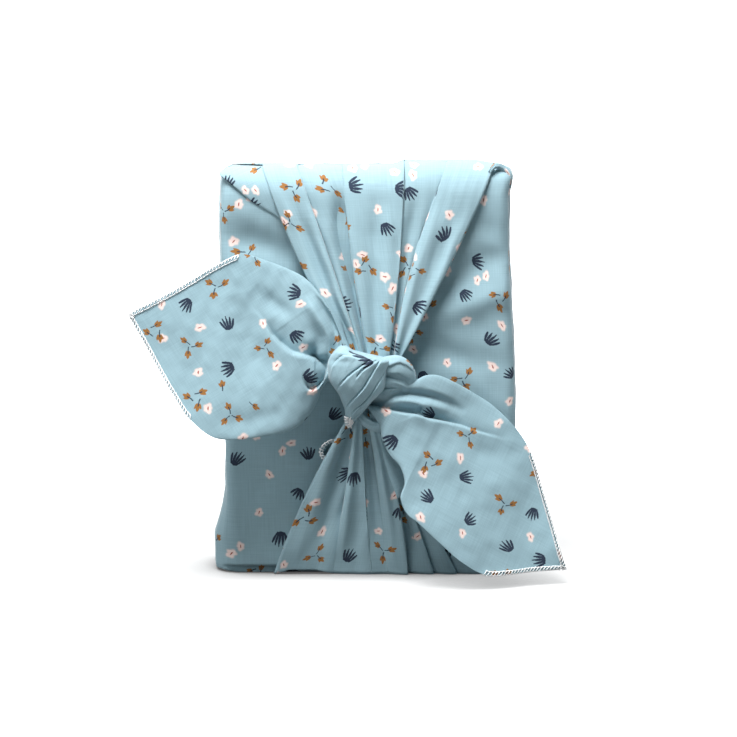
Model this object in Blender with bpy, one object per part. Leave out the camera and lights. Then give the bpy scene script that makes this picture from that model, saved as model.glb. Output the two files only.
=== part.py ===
"""Furoshiki wrap: a box wrapped in one square of cloth and tied in front by two of its corners.

The closed parcel, its gathers, its knot and its two free tails are one piece of cloth, so they are
one solid. The front faces -Y, +X is to the right, and the origin is the middle of the flat base.
All sizes below are in millimetres, and MM turns them into metres.
"""

import math

import bmesh
import bpy
from mathutils import Vector

MM = 0.001

# Driving dimensions of the parcel.
WIDTH = 177.0
HEIGHT = 246.0
DEPTH = 56.0
CLOTH = 2.4  # a free layer of cloth
ROOT = 3.0  # how deep a piece is set into the piece that carries it

FRONT = -DEPTH / 2
BACK = DEPTH / 2
HALF = WIDTH / 2
CORNER_STEPS = 4
SIDE_STEPS = {"front": 8, "right": 3, "back": 6, "left": 3}

# Level sections of the parcel, bottom to top. left, right, front and back say how far each side
# stands out past the box's own half width or half depth, and corner is the upright edge's radius.
PARCEL_COLUMNS = ("height", "left", "right", "front", "back", "corner")
PARCEL = (
    (0.0, -4.5, -6.5, -5.0, -4.0, 6.0),
    (1.6, 0.6, -2.8, -1.6, -1.4, 7.0),
    (6.0, 4.0, -0.6, 0.0, 0.0, 7.5),
    (20.0, 2.8, 0.2, 0.2, 0.3, 7.0),
    (50.0, -1.2, 0.4, 0.0, 0.4, 6.5),
    (85.0, -2.6, 0.6, 0.0, 0.8, 6.0),
    (125.0, -2.0, -0.4, 0.2, 1.0, 6.0),
    (165.0, -0.6, -2.6, 0.0, 0.8, 6.0),
    (200.0, 0.2, -4.4, 0.0, 0.5, 6.0),
    (226.0, -0.4, -4.6, 0.2, 0.3, 6.5),
    (238.0, -1.0, -2.2, 0.0, 0.0, 7.0),
    (243.8, -2.8, -3.6, -1.2, -1.4, 6.5),
    (246.0, -6.5, -7.5, -4.6, -5.0, 6.0),
)
CROWN = {"front": 0.0, "right": 1.8, "back": 1.2, "left": 1.8}

# The lengthwise folds of each gather, left to right. A fold runs from edge on the box's edge to
# knot at the knot, bowed sideways by bow. before and after are the heights of the cloth just left
# and just right of it: where they differ, one layer lies over the other.
FOLD_COLUMNS = ("edge", "bow", "knot", "before", "after")
TOP_FOLDS = (
    (-63.0, -5.5, -11.0, -ROOT, 2.6),
    (-42.0, 1.0, -3.0, 3.2, 1.8),
    (-15.5, -1.5, 1.0, 0.8, 3.4),
    (21.5, 1.5, 13.2, 4.2, 1.4),
    (47.0, -5.0, 15.8, 1.0, 3.4),
    (75.0, 2.5, 18.6, 3.2, -ROOT),
)
BOTTOM_FOLDS = (
    (-57.0, -3.5, -9.0, -ROOT, 2.6),
    (-22.0, 0.8, -6.6, 0.6, 3.4),
    (0.5, 0.5, -3.0, 3.6, 3.2),
    (12.1, 0.8, -0.6, 1.0, 3.2),
    (24.2, 3.5, 3.0, 4.2, 0.8),
    (47.5, -0.5, 4.8, 1.6, 2.8),
    (69.5, -1.0, 7.2, 2.0, -ROOT),
)
BAND_STEPS = 3  # strips of mesh between two folds
BAND_CROWN = 0.9  # how far the middle of a band stands out of the line between its two folds

# How a gather leaves the front of the parcel on its way to the knot. way runs from 0 at the box's
# edge to 1 at the knot, lift is how far the cloth stands off, and depth scales its folds.
RUN_COLUMNS = ("way", "lift", "depth")
TOP_RUN = (
    (0.0, 0.2, 0.45),
    (0.12, 0.4, 0.7),
    (0.3, 0.6, 0.95),
    (0.5, 1.6, 1.1),
    (0.7, 4.2, 1.15),
    (0.86, 9.0, 1.05),
    (1.0, 15.0, 0.8),
)
BOTTOM_RUN = (
    (0.0, 0.0, 0.5),
    (0.14, 0.4, 0.8),
    (0.35, 0.8, 1.0),
    (0.55, 2.2, 1.1),
    (0.75, 6.0, 1.1),
    (0.9, 11.0, 0.9),
    (1.0, 16.0, 0.7),
)
TOP_EDGE = HEIGHT - 1.5
TOP_KNOT = 134.0
BOTTOM_EDGE = 0.4
BOTTOM_KNOT = 89.0
BURIED_Z = HEIGHT - 2 * ROOT  # the underside of the top gather, inside the parcel

# The top gather on its way over the box from the back: y, height above the top, and fold depth.
OVER_TOP = ((25.5, -4.4, 0.0), (14.0, -0.2, 0.1), (0.0, 0.5, 0.2), (-16.0, 1.0, 0.3))

# The triangular tuck at the top left corner, as x and z, and how far it stands off the panel.
TUCK = ((-82.5, 237.0), (-69.5, 226.5), (-54.0, 216.0), (-47.0, 224.0), (-58.0, 243.4), (-80.0, 243.4))
TUCK_RISE = 1.7

# Level sections of the knot's front wrap: the tip at the bottom, the shoulders at the top.
KNOT_COLUMNS = ("height", "left", "right", "front", "back")
KNOT = (
    (92.4, -12.6, -9.4, -50.0, -45.0),
    (96.0, -14.4, -7.6, -54.5, -40.0),
    (101.5, -14.6, -1.6, -59.0, -36.0),
    (108.0, -17.0, 4.4, -63.5, -33.0),
    (114.5, -20.0, 9.8, -66.5, -30.0),
    (121.0, -23.2, 11.2, -68.0, -29.0),
    (127.0, -24.4, 12.0, -67.0, -29.0),
    (132.0, -23.0, 13.2, -63.5, -30.0),
    (136.5, -18.5, 11.5, -57.0, -33.0),
    (140.0, -13.0, 4.0, -50.0, -38.0),
)
KNOT_SIDES = 30
PLEAT_RISE = 0.9
PLEAT_PITCH = 7.6
PLEAT_ANGLE = math.radians(59.0)  # the wrap's pleats climb to the right at this angle

# Rolled bands round the knot. path is their middle line, wide is across it in the front view, and
# deep is along Y; both are half sizes.
ROLLS = {
    "right_loop": dict(
        path=((4, -50, 129), (13, -50, 131.5), (19, -50, 131), (23, -49, 126), (24, -48, 119), (19, -48, 112)),
        wide=4.0,
        deep=5.0,
    ),
    "upper_collar": dict(
        path=((-20, -46, 122), (-22.5, -49, 131), (-17, -49, 138.3), (-9, -48, 137), (-2, -48, 131)),
        wide=3.2,
        deep=5.5,
    ),
    "lower_collar": dict(
        path=((-8, -50, 103), (-3, -54, 98), (3, -56, 94.6), (10, -54, 93), (15, -50, 97)),
        wide=3.0,
        deep=5.0,
    ),
    "edge_curl": dict(
        path=((-17, -32, 84), (-24, -34, 83.5), (-27, -34.5, 78), (-24, -33, 72), (-18, -32, 68)),
        wide=1.3,
        deep=3.6,
    ),
}
ROLL_SIDES = 10
ROLL_STEPS = 3  # rings from one point of a path to the next

# Sections across each tail, from inside the knot out to the cloth's corner. up and low are its two
# borders in the front view, edge is their place along Y, crown is how far the middle stands out in
# front of them, furrow is the depth of the fold that runs along the tail, at furrow_at from -1 at
# the upper border to 1 at the lower one, and roll turns the borders back, from 0, flat, to 1.
TAIL_COLUMNS = ("up_x", "up_z", "low_x", "low_z", "edge", "crown", "furrow", "furrow_at", "roll")
LEFT_TAIL = (
    (-9.0, 133.0, -13.0, 121.0, -49.0, 5.0, 0.0, 0.0, 0.6),
    (-16.0, 147.0, -25.0, 119.0, -48.0, 8.0, 2.0, 0.3, 0.8),
    (-20.6, 158.6, -30.7, 107.0, -46.0, 12.0, 4.5, 0.3, 1.0),
    (-28.2, 171.0, -36.7, 98.0, -44.0, 15.0, 6.0, 0.2, 1.0),
    (-37.0, 180.4, -46.2, 91.4, -43.0, 16.0, 6.0, 0.1, 1.0),
    (-47.0, 185.7, -59.2, 88.5, -42.0, 15.0, 5.0, 0.0, 0.9),
    (-60.4, 190.8, -75.8, 86.0, -43.0, 12.0, 3.5, -0.1, 0.7),
    (-73.8, 195.1, -90.6, 86.6, -45.0, 9.0, 2.0, -0.1, 0.4),
    (-87.9, 189.8, -105.3, 97.4, -47.0, 6.5, 1.0, -0.1, 0.1),
    (-101.5, 180.8, -114.6, 111.1, -48.0, 4.5, 0.4, -0.1, 0.0),
    (-115.1, 172.8, -123.9, 127.8, -49.0, 2.5, 0.0, 0.0, 0.0),
    (-128.1, 166.9, -131.9, 143.6, -50.0, 1.0, 0.0, 0.0, 0.0),
    (-140.6, 162.8, -141.4, 160.4, -50.5, 0.0, 0.0, 0.0, 0.0),
)
RIGHT_TAIL = (
    (1.0, 116.0, -3.0, 108.0, -50.0, 4.0, 0.0, 0.0, 0.6),
    (15.3, 118.3, 6.5, 95.0, -50.0, 7.0, 2.0, -0.3, 0.8),
    (26.0, 121.4, 8.6, 83.6, -48.5, 10.5, 5.5, -0.3, 1.0),
    (37.8, 124.4, 11.9, 69.8, -46.5, 13.0, 7.0, -0.35, 1.0),
    (51.4, 119.0, 17.2, 52.6, -45.0, 14.0, 5.5, -0.4, 1.0),
    (65.0, 111.0, 27.8, 39.7, -44.5, 13.0, 3.5, -0.45, 0.9),
    (77.4, 102.2, 41.1, 26.4, -45.0, 10.5, 1.5, -0.5, 0.7),
    (88.8, 91.4, 54.8, 14.6, -46.5, 8.0, 0.6, -0.5, 0.4),
    (97.4, 77.6, 68.6, 6.0, -48.0, 6.0, 0.0, 0.0, 0.1),
    (105.1, 54.2, 82.8, 5.8, -49.0, 4.0, 0.0, 0.0, 0.0),
    (110.7, 34.9, 96.6, 6.6, -50.0, 2.2, 0.0, 0.0, 0.0),
    (115.0, 20.4, 107.6, 7.2, -51.0, 0.8, 0.0, 0.0, 0.0),
    (118.8, 9.2, 116.6, 7.4, -51.5, 0.0, 0.0, 0.0, 0.0),
)
TAIL_STEPS = 2  # sections of mesh from one row to the next
TAIL_ACROSS = 15
FLAT_ARC = math.radians(40.0)  # half the arc that a flat section follows
ROLL_ARC = math.radians(95.0)  # what a full roll adds to it
FURROW_WIDTH = 0.22

CLOTH_COLOUR = (0.36, 0.56, 0.64, 1.0)
CLOTH_ROUGHNESS = 0.85
SMOOTH_UP_TO = math.radians(38.0)


def named(columns, rows):
    """Each row of a table as a dictionary of its named columns."""
    return [dict(zip(columns, row)) for row in rows]


def curve_through(values, place):
    """A smooth curve through evenly spaced numbers, read at a fractional place."""
    last = len(values) - 1
    i = min(int(place), last - 1)
    f = place - i
    p0, p1, p2, p3 = (values[min(max(i + k, 0), last)] for k in (-1, 0, 1, 2))
    bend = 2 * p0 - 5 * p1 + 4 * p2 - p3
    return 0.5 * (2 * p1 + (p2 - p0) * f + bend * f**2 + (3 * p1 - p0 - 3 * p2 + p3) * f**3)


def refined(rows, steps):
    """The rows of a table with steps - 1 smooth ones put between each two."""
    count = (len(rows) - 1) * steps + 1
    columns = list(zip(*rows))
    return [tuple(curve_through(column, n / steps) for column in columns) for n in range(count)]


def solid(name, points, faces):
    """An object made of points in millimetres, with its faces turned outward."""
    shape = bmesh.new()
    verts = [shape.verts.new(Vector(p) * MM) for p in points]
    for face in faces:
        shape.faces.new([verts[i] for i in face])
    bmesh.ops.recalc_face_normals(shape, faces=shape.faces[:])
    mesh = bpy.data.meshes.new(name)
    shape.to_mesh(mesh)
    shape.free()
    made = bpy.data.objects.new(name, mesh)
    bpy.context.scene.collection.objects.link(made)
    return made


def lofted(name, rings):
    """A closed solid through rings of equal length, capped at both ends."""
    size = len(rings[0])
    points = [p for ring in rings for p in ring]
    faces = [tuple(range(size)), tuple(range(len(points) - size, len(points)))]
    for r in range(len(rings) - 1):
        for i in range(size):
            j = (i + 1) % size
            faces.append((r * size + i, r * size + j, (r + 1) * size + j, (r + 1) * size + i))
    return solid(name, points, faces)


def slab(name, outer, inner):
    """A closed solid between two grids of points that have the same rows and columns."""
    rows, columns = len(outer), len(outer[0])
    points = [p for row in outer for p in row] + [p for row in inner for p in row]
    shift = rows * columns

    def at(r, c):
        return r * columns + c

    faces = []
    for r in range(rows - 1):
        for c in range(columns - 1):
            patch = (at(r, c), at(r, c + 1), at(r + 1, c + 1), at(r + 1, c))
            faces.append(patch)
            faces.append(tuple(i + shift for i in reversed(patch)))
    border = [at(0, c) for c in range(columns)]
    border += [at(r, columns - 1) for r in range(1, rows)]
    border += [at(rows - 1, c) for c in range(columns - 2, -1, -1)]
    border += [at(r, 0) for r in range(rows - 2, 0, -1)]
    for a, b in zip(border, border[1:] + border[:1]):
        faces.append((b, a, a + shift, b + shift))
    return solid(name, points, faces)


def parcel_ring(row):
    """One level section of the parcel, round from the front left, with crowned sides."""
    reach = {side: HALF + row[side] for side in ("left", "right")}
    reach |= {side: DEPTH / 2 + row[side] for side in ("front", "back")}
    r = row["corner"]
    corners = (
        (-reach["left"] + r, -reach["front"] + r, 180.0, "front"),
        (reach["right"] - r, -reach["front"] + r, 270.0, "right"),
        (reach["right"] - r, reach["back"] - r, 0.0, "back"),
        (-reach["left"] + r, reach["back"] - r, 90.0, "left"),
    )
    out = {"front": (0, -1), "right": (1, 0), "back": (0, 1), "left": (-1, 0)}
    ring = []
    for n, (x, y, start, side) in enumerate(corners):
        for step in range(CORNER_STEPS + 1):
            angle = math.radians(start + 90.0 * step / CORNER_STEPS)
            ring.append((x + r * math.cos(angle), y + r * math.sin(angle), row["height"]))
        next_x, next_y, next_start, _ = corners[(n + 1) % len(corners)]
        end = (next_x + r * math.cos(math.radians(next_start)), next_y + r * math.sin(math.radians(next_start)))
        begin = ring[-1]
        for step in range(1, SIDE_STEPS[side]):
            part = step / SIDE_STEPS[side]
            crown = CROWN[side] * (1 - (2 * part - 1) ** 2)
            ring.append((
                begin[0] + (end[0] - begin[0]) * part + crown * out[side][0],
                begin[1] + (end[1] - begin[1]) * part + crown * out[side][1],
                row["height"],
            ))
    return ring


def parcel():
    return lofted("furoshiki_cloth", [parcel_ring(row) for row in named(PARCEL_COLUMNS, PARCEL)])


def gather_columns(folds):
    """Columns across a gather: two fold numbers, the share of the second, and a height."""
    rows = named(FOLD_COLUMNS, folds)
    columns = [(0, 0, 0.0, rows[0]["before"])]
    for n, (left, right) in enumerate(zip(rows, rows[1:])):
        for step in range(BAND_STEPS + 1):
            part = step / BAND_STEPS
            height = left["after"] + (right["before"] - left["after"]) * part
            columns.append((n, n + 1, part, height + BAND_CROWN * math.sin(math.pi * part)))
    last = len(rows) - 1
    columns.append((last, last, 0.0, rows[last]["after"]))
    return columns


def fold_x(fold, way):
    """A fold's place along X at a way to the knot."""
    edge, bow, knot = fold[:3]
    return edge + (knot - edge) * way + bow * 4 * way * (1 - way)


STEP_WIDTH = 0.35  # the two sides of a fold lie this far apart, so that no face stands on edge


def gather(name, folds, run, edge_z, knot_z, over_top):
    """The cloth that fans out from the knot to one edge of the box, with its folds."""
    columns = gather_columns(folds)
    outer, inner = [], []

    def place(column, way):
        first, second, part, _ = column
        x = fold_x(folds[first], way) * (1 - part) + fold_x(folds[second], way) * part
        if part == 0.0:
            return x + STEP_WIDTH
        return x - STEP_WIDTH if part == 1.0 else x

    def row_at(way, y, lift, depth, z, upward):
        front, back = [], []
        for n, column in enumerate(columns):
            x = place(column, way)
            rise = column[3] * depth + lift
            if n in (0, len(columns) - 1):
                x += STEP_WIDTH * (-2 if n == 0 else 1)
                rise = -ROOT
            front.append((x, y, z + rise) if upward else (x, y - rise, z))
            back.append((x, y, BURIED_Z) if upward else (x, y + 2 * ROOT, min(z, BURIED_Z - 1)))
        outer.append(front)
        inner.append(back)

    for y, above, depth in over_top:
        row_at(0.0, y, above, depth, HEIGHT, True)
    for way, lift, depth in refined(run, 2):
        row_at(way, FRONT, lift, depth, edge_z + (knot_z - edge_z) * way, False)
    return slab(name, outer, inner)


def tuck():
    """The folded triangle at the top left corner."""
    outer = [(x, FRONT - TUCK_RISE, z) for x, z in TUCK]
    inner = [(x, FRONT + ROOT, z) for x, z in TUCK]
    return lofted("tuck", [outer, inner])


def knot_ring(row):
    """A level section of the knot's wrap, ridged by pleats that climb to the right."""
    middle_x = (row["left"] + row["right"]) / 2
    middle_y = (row["front"] + row["back"]) / 2
    half_x = (row["right"] - row["left"]) / 2
    half_y = (row["back"] - row["front"]) / 2
    across = (math.sin(PLEAT_ANGLE), -math.cos(PLEAT_ANGLE))
    ring = []
    for n in range(KNOT_SIDES):
        angle = 2 * math.pi * n / KNOT_SIDES
        x = middle_x + half_x * math.cos(angle)
        y = middle_y + half_y * math.sin(angle)
        turn = 2 * math.pi * (x * across[0] + row["height"] * across[1]) / PLEAT_PITCH
        rise = PLEAT_RISE * math.cos(turn) * max(0.0, -math.sin(angle)) * min(1.0, half_x / 10.0)
        ring.append((x, y - rise, row["height"]))
    return ring


def knot():
    rows = named(KNOT_COLUMNS, refined(KNOT, 2))
    return lofted("knot_wrap", [knot_ring(row) for row in rows])


def roll(name, path, wide, deep):
    """A rolled band of cloth along a path, oval in section."""
    spine = [Vector(p) for p in refined(path, ROLL_STEPS)]
    rings = []
    for n, centre in enumerate(spine):
        ahead = spine[min(n + 1, len(spine) - 1)] - spine[max(n - 1, 0)]
        side = ahead.cross(Vector((0, 1, 0))).normalized()
        out = side.cross(ahead).normalized()
        ring = []
        for k in range(ROLL_SIDES):
            angle = 2 * math.pi * k / ROLL_SIDES
            ring.append(tuple(centre + side * wide * math.cos(angle) + out * deep * math.sin(angle)))
        rings.append(ring)
    return lofted(name, rings)


def tail_section(row):
    """The front of a tail along one section, from its upper border to its lower one."""
    up = Vector((row["up_x"], 0, row["up_z"]))
    low = Vector((row["low_x"], 0, row["low_z"]))
    arc = FLAT_ARC + ROLL_ARC * row["roll"]
    widest = math.sin(min(arc, math.pi / 2))
    base = max(math.cos(arc), 0.0)
    section = []
    for n in range(TAIL_ACROSS):
        angle = arc * (2 * n / (TAIL_ACROSS - 1) - 1)
        across = math.sin(angle) / widest
        stands = row["crown"] * (math.cos(angle) - base) / (1 - base)
        dip = row["furrow"] * math.exp(-(((across - row["furrow_at"]) / FURROW_WIDTH) ** 2))
        if abs(angle) > math.pi / 2:
            dip = 0.0
        spot = (up + low) / 2 + (low - up) / 2 * across
        section.append(Vector((spot.x, row["edge"] - stands + dip, spot.z)))
    return section


def facing(grid, r, c):
    """The direction across the sheet at one point of a grid."""
    along = grid[min(r + 1, len(grid) - 1)][c] - grid[max(r - 1, 0)][c]
    across = grid[r][min(c + 1, len(grid[r]) - 1)] - grid[r][max(c - 1, 0)]
    return along.cross(across).normalized()


def tail(name, rows):
    """A free tail: a sheet with turned-back borders that ends in the cloth's corner."""
    outer = [tail_section(row) for row in named(TAIL_COLUMNS, refined(rows, TAIL_STEPS))]
    facings = [[facing(outer, r, c) for c in range(TAIL_ACROSS)] for r in range(len(outer))]
    to_back = CLOTH if facings[len(outer) // 2][TAIL_ACROSS // 2].y > 0 else -CLOTH
    inner = [
        [spot + way * to_back for spot, way in zip(section, ways)]
        for section, ways in zip(outer, facings)
    ]
    return slab(name, outer, inner)


def joined(body, pieces):
    """The body with every piece united with it."""
    for piece in pieces:
        union = body.modifiers.new(piece.name, "BOOLEAN")
        union.operation = "UNION"
        union.solver = "EXACT"
        union.object = piece
        piece.hide_render = True
        piece.display_type = "WIRE"


def cloth_material():
    """Plain light blue cotton."""
    material = bpy.data.materials.new("printed_cotton")
    material.use_nodes = True
    shader = material.node_tree.nodes["Principled BSDF"]
    shader.inputs["Base Color"].default_value = CLOTH_COLOUR
    shader.inputs["Roughness"].default_value = CLOTH_ROUGHNESS
    shader.inputs["Metallic"].default_value = 0.0
    return material


def build():
    for old in list(bpy.data.objects):
        bpy.data.objects.remove(old, do_unlink=True)
    wrap = parcel()
    pieces = [
        gather("top_gather", TOP_FOLDS, TOP_RUN, TOP_EDGE, TOP_KNOT, OVER_TOP),
        gather("bottom_gather", BOTTOM_FOLDS, BOTTOM_RUN, BOTTOM_EDGE, BOTTOM_KNOT, ()),
        tuck(),
        tail("left_tail", LEFT_TAIL),
        tail("right_tail", RIGHT_TAIL),
        knot(),
    ]
    pieces += [roll(name, **shape) for name, shape in ROLLS.items()]
    joined(wrap, pieces)
    wrap.data.materials.append(cloth_material())
    wrap.data.shade_smooth()
    wrap.data.set_sharp_from_angle(angle=SMOOTH_UP_TO)


build()
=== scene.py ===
"""Furoshiki wrap: the looks of a box wrapped and tied in one square of printed cotton.

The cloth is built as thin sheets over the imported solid: the wrapped box, its two gathers, the knot
and its rolled bands, the two tails, and the thread over the cloth's edge. Sizes in the tables are
in millimetres, in the frame's own axes: the front faces -Y and the base stands on Z = 0.
"""

import math
from random import Random

import bpy
import numpy as np
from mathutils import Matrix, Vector


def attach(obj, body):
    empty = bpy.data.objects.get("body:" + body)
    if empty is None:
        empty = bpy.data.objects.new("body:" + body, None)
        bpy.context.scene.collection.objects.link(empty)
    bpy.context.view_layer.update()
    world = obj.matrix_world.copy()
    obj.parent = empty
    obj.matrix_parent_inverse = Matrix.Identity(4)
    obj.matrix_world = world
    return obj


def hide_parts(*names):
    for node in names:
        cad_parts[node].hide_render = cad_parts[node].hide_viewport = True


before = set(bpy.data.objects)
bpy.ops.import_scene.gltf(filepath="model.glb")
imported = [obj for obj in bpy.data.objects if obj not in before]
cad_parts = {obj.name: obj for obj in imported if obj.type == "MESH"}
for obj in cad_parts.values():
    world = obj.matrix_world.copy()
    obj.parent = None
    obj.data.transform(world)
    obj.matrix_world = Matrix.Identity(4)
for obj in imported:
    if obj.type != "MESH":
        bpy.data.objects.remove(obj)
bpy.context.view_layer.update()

NODE = "furoshiki_cloth"
BODY = "root"
CLOTH_UV = "flat_cloth"
MM = 0.001
FULL_TURN = 2 * math.pi

WIDTH = 177.0
HEIGHT = 246.0
DEPTH = 56.0
FRONT = -DEPTH / 2
BACK = DEPTH / 2
HALF = WIDTH / 2


# ---------------------------------------------------------------- curves and small tools


def named(columns, rows):
    """Each row of a table as a dictionary of its named columns."""
    return [dict(zip(columns, row)) for row in rows]


def curve_through(values, place):
    """A smooth curve through evenly spaced numbers, read at a fractional place."""
    last = len(values) - 1
    i = min(int(place), last - 1)
    f = place - i
    p0, p1, p2, p3 = (values[min(max(i + k, 0), last)] for k in (-1, 0, 1, 2))
    bend = 2 * p0 - 5 * p1 + 4 * p2 - p3
    return 0.5 * (2 * p1 + (p2 - p0) * f + bend * f**2 + (3 * p1 - p0 - 3 * p2 + p3) * f**3)


def refined(rows, steps):
    """The rows of a table with steps - 1 smooth ones put between each two."""
    count = (len(rows) - 1) * steps + 1
    columns = list(zip(*rows))
    return [tuple(curve_through(column, n / steps) for column in columns) for n in range(count)]


def along_table(rows, place):
    """A smooth row at a place from 0 to 1 along a table whose first column is that place."""
    stops = [row[0] for row in rows]
    i = max(k for k in range(len(rows) - 1) if k == 0 or stops[k] <= place)
    part = (place - stops[i]) / (stops[i + 1] - stops[i])
    return [curve_through(column, i + min(part, 1.0)) for column in zip(*rows)]


def ramp(value, begin, end):
    """From 0 at begin to 1 at end, in a straight line."""
    return np.clip((value - begin) / (end - begin), 0, 1)


def past(distance, blur):
    """From 0 to 1 as a signed distance passes 0."""
    return 1 / (1 + np.exp(np.clip(-distance / blur, -60, 60)))


def ease(value):
    """A smooth step from 0 to 1."""
    value = np.clip(value, 0.0, 1.0)
    return value * value * (3 - 2 * value)


def distances_along(points):
    """How far along a line each of its points lies."""
    steps = np.linalg.norm(np.diff(points, axis=0), axis=1)
    return np.concatenate([[0], np.cumsum(steps)])


def units(vectors):
    """Vectors brought to length 1."""
    return vectors / (np.linalg.norm(vectors, axis=-1, keepdims=True) + 1e-9)


class Ripples:
    """A sum of soft waves in random directions, the same on each run."""

    def __init__(self, seed, wave, count=7):
        draw = Random(seed)
        self.waves = []
        for _ in range(count):
            angle = draw.uniform(0, FULL_TURN)
            pitch = wave * draw.uniform(0.7, 1.6)
            phase = draw.uniform(0, FULL_TURN)
            spin = FULL_TURN / pitch
            self.waves.append((math.cos(angle) * spin, math.sin(angle) * spin, phase))

    def at(self, a, b):
        total = sum(np.sin(p * a + q * b + phase) for p, q, phase in self.waves)
        return total / math.sqrt(len(self.waves))


def rippled(seed, waves, a, b):
    """The unevenness of soft cloth at places a and b. waves gives each wave's length and height."""
    return sum(high * Ripples(seed + n, wave).at(a, b) for n, (wave, high) in enumerate(waves))


def placed(name, data):
    """A new object in the scene."""
    made = bpy.data.objects.new(name, data)
    bpy.context.scene.collection.objects.link(made)
    return made


def face_corners(grid):
    """The values at the four corners of each face of a grid."""
    return grid[:-1, :-1], grid[:-1, 1:], grid[1:, 1:], grid[1:, :-1]


def sheet_object(name, grid, uv, closed=False, flip=False):
    """A mesh from a grid of points in millimetres and their places on the flat cloth."""
    rows, columns = grid.shape[:2]
    mesh = bpy.data.meshes.new(name)
    index = np.arange(rows * columns).reshape(rows, columns)
    if closed:
        one_step_on = 2 * uv[:, -1:] - uv[:, -2:-1]
        index = np.concatenate([index, index[:, :1]], axis=1)
        uv = np.concatenate([uv, one_step_on], axis=1)
    quads = np.stack(face_corners(index), axis=2).reshape(-1, 4)
    corners = np.stack(face_corners(uv), axis=2).reshape(-1, 4, 2)
    if flip:
        quads, corners = quads[:, ::-1], corners[:, ::-1]
    mesh.from_pydata((grid.reshape(-1, 3) * MM).tolist(), [], quads.tolist())
    layer = mesh.uv_layers.new(name=CLOTH_UV)
    layer.data.foreach_set("uv", (corners.reshape(-1) * MM).astype(np.float32))
    mesh.shade_smooth()
    return placed(name, mesh)


def turned(uv, degrees, shift):
    """Flat-cloth places turned by an angle and moved."""
    angle = math.radians(degrees)
    spin = np.array([[math.cos(angle), math.sin(angle)], [-math.sin(angle), math.cos(angle)]])
    return uv @ spin + np.array(shift)


# ---------------------------------------------------------------- folds drawn over a surface

# A fold is a line over the front view: x, z and its strength at each point. A ridge or trough is
# soft, and reach wide. A lapped fold has a side: there it stands out by high and sinks back over
# high_reach. Its other side is sunk by low over low_reach. edge is how sharply the one becomes the
# other, and lap is how far the high side hangs over the low one.


def ridge(line, high, reach):
    return dict(line=line, side=0, high=high, high_reach=reach, low=0, low_reach=reach)


def trough(line, low, reach):
    return dict(line=line, side=0, high=0, high_reach=reach, low=low, low_reach=reach)


def lapped(line, side, high, high_reach, low, low_reach, edge=0.35, lap=0):
    shape = dict(high=high, high_reach=high_reach, low=low, low_reach=low_reach, edge=edge, lap=lap)
    return dict(line=line, side=side, **shape)


LAP_REACH = 1.6  # how far from its edge a lapped fold still hangs over
EDGE_SHARE = 0.4  # the blur of a lapped fold's step, as a share of its edge


def fold_distance(points, line):
    """Signed distance from points to a line, above it positive, the place along it, and its part."""
    starts, ends = line[:-1], line[1:]
    along = ends - starts
    offset = points[:, None, :] - starts[None]
    part = np.clip((offset * along[None]).sum(2) / (along**2).sum(1)[None], 0, 1)
    gap = offset - part[..., None] * along[None]
    distance = np.sqrt((gap**2).sum(2))
    nearest = distance.argmin(1)
    rows = np.arange(len(points))
    side = along[nearest, 0] * offset[rows, nearest, 1] - along[nearest, 1] * offset[rows, nearest, 0]
    return distance[rows, nearest] * np.sign(side), nearest + part[rows, nearest], nearest


def lapped_fold(fold, signed, fade):
    """How far a lapped fold lifts each point, and how far it pulls it over the low side."""
    on_high = past(signed, fold["edge"] * EDGE_SHARE)
    high = fold["high"] * np.exp(-np.maximum(signed, 0) / fold["high_reach"])
    low = fold["low"] * np.exp(np.minimum(signed, 0) / fold["low_reach"])
    pull = fold["lap"] * fade * on_high * np.exp(-np.maximum(signed, 0) / LAP_REACH)
    return fade * (high * on_high - low * (1 - on_high)), pull


def press_folds(grid, folds, outward=-1.0, strength=None):
    """Moves a grid of points along Y, and sideways where a fold laps over, by a list of folds."""
    flat = grid.reshape(-1, 3)
    view = flat[:, [0, 2]].copy()
    rise = np.zeros(len(flat))
    shift = np.zeros((len(flat), 2))
    for fold in folds:
        line, strengths = np.split(np.array(fold["line"], float), [2], axis=1)
        signed, place, segment = fold_distance(view, line)
        fade = np.interp(place, np.arange(len(line)), strengths[:, 0])
        if fold["side"]:
            lift, pull = lapped_fold(fold, signed * fold["side"], fade)
            along = line[segment + 1] - line[segment]
            normal = np.stack([-along[:, 1], along[:, 0]], 1) / np.linalg.norm(along, axis=1)[:, None]
            rise += lift
            shift -= normal * fold["side"] * pull[:, None]
        else:
            high = fold["high"] * np.exp(-((signed / fold["high_reach"]) ** 2))
            low = fold["low"] * np.exp(-((signed / fold["low_reach"]) ** 2))
            rise += fade * (high - low)
    if strength is not None:
        rise *= strength.reshape(-1)
        shift *= strength.reshape(-1)[:, None]
    flat[:, 1] += outward * rise
    flat[:, [0, 2]] += shift
    return flat.reshape(grid.shape)


# ---------------------------------------------------------------- the wrapped box

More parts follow.
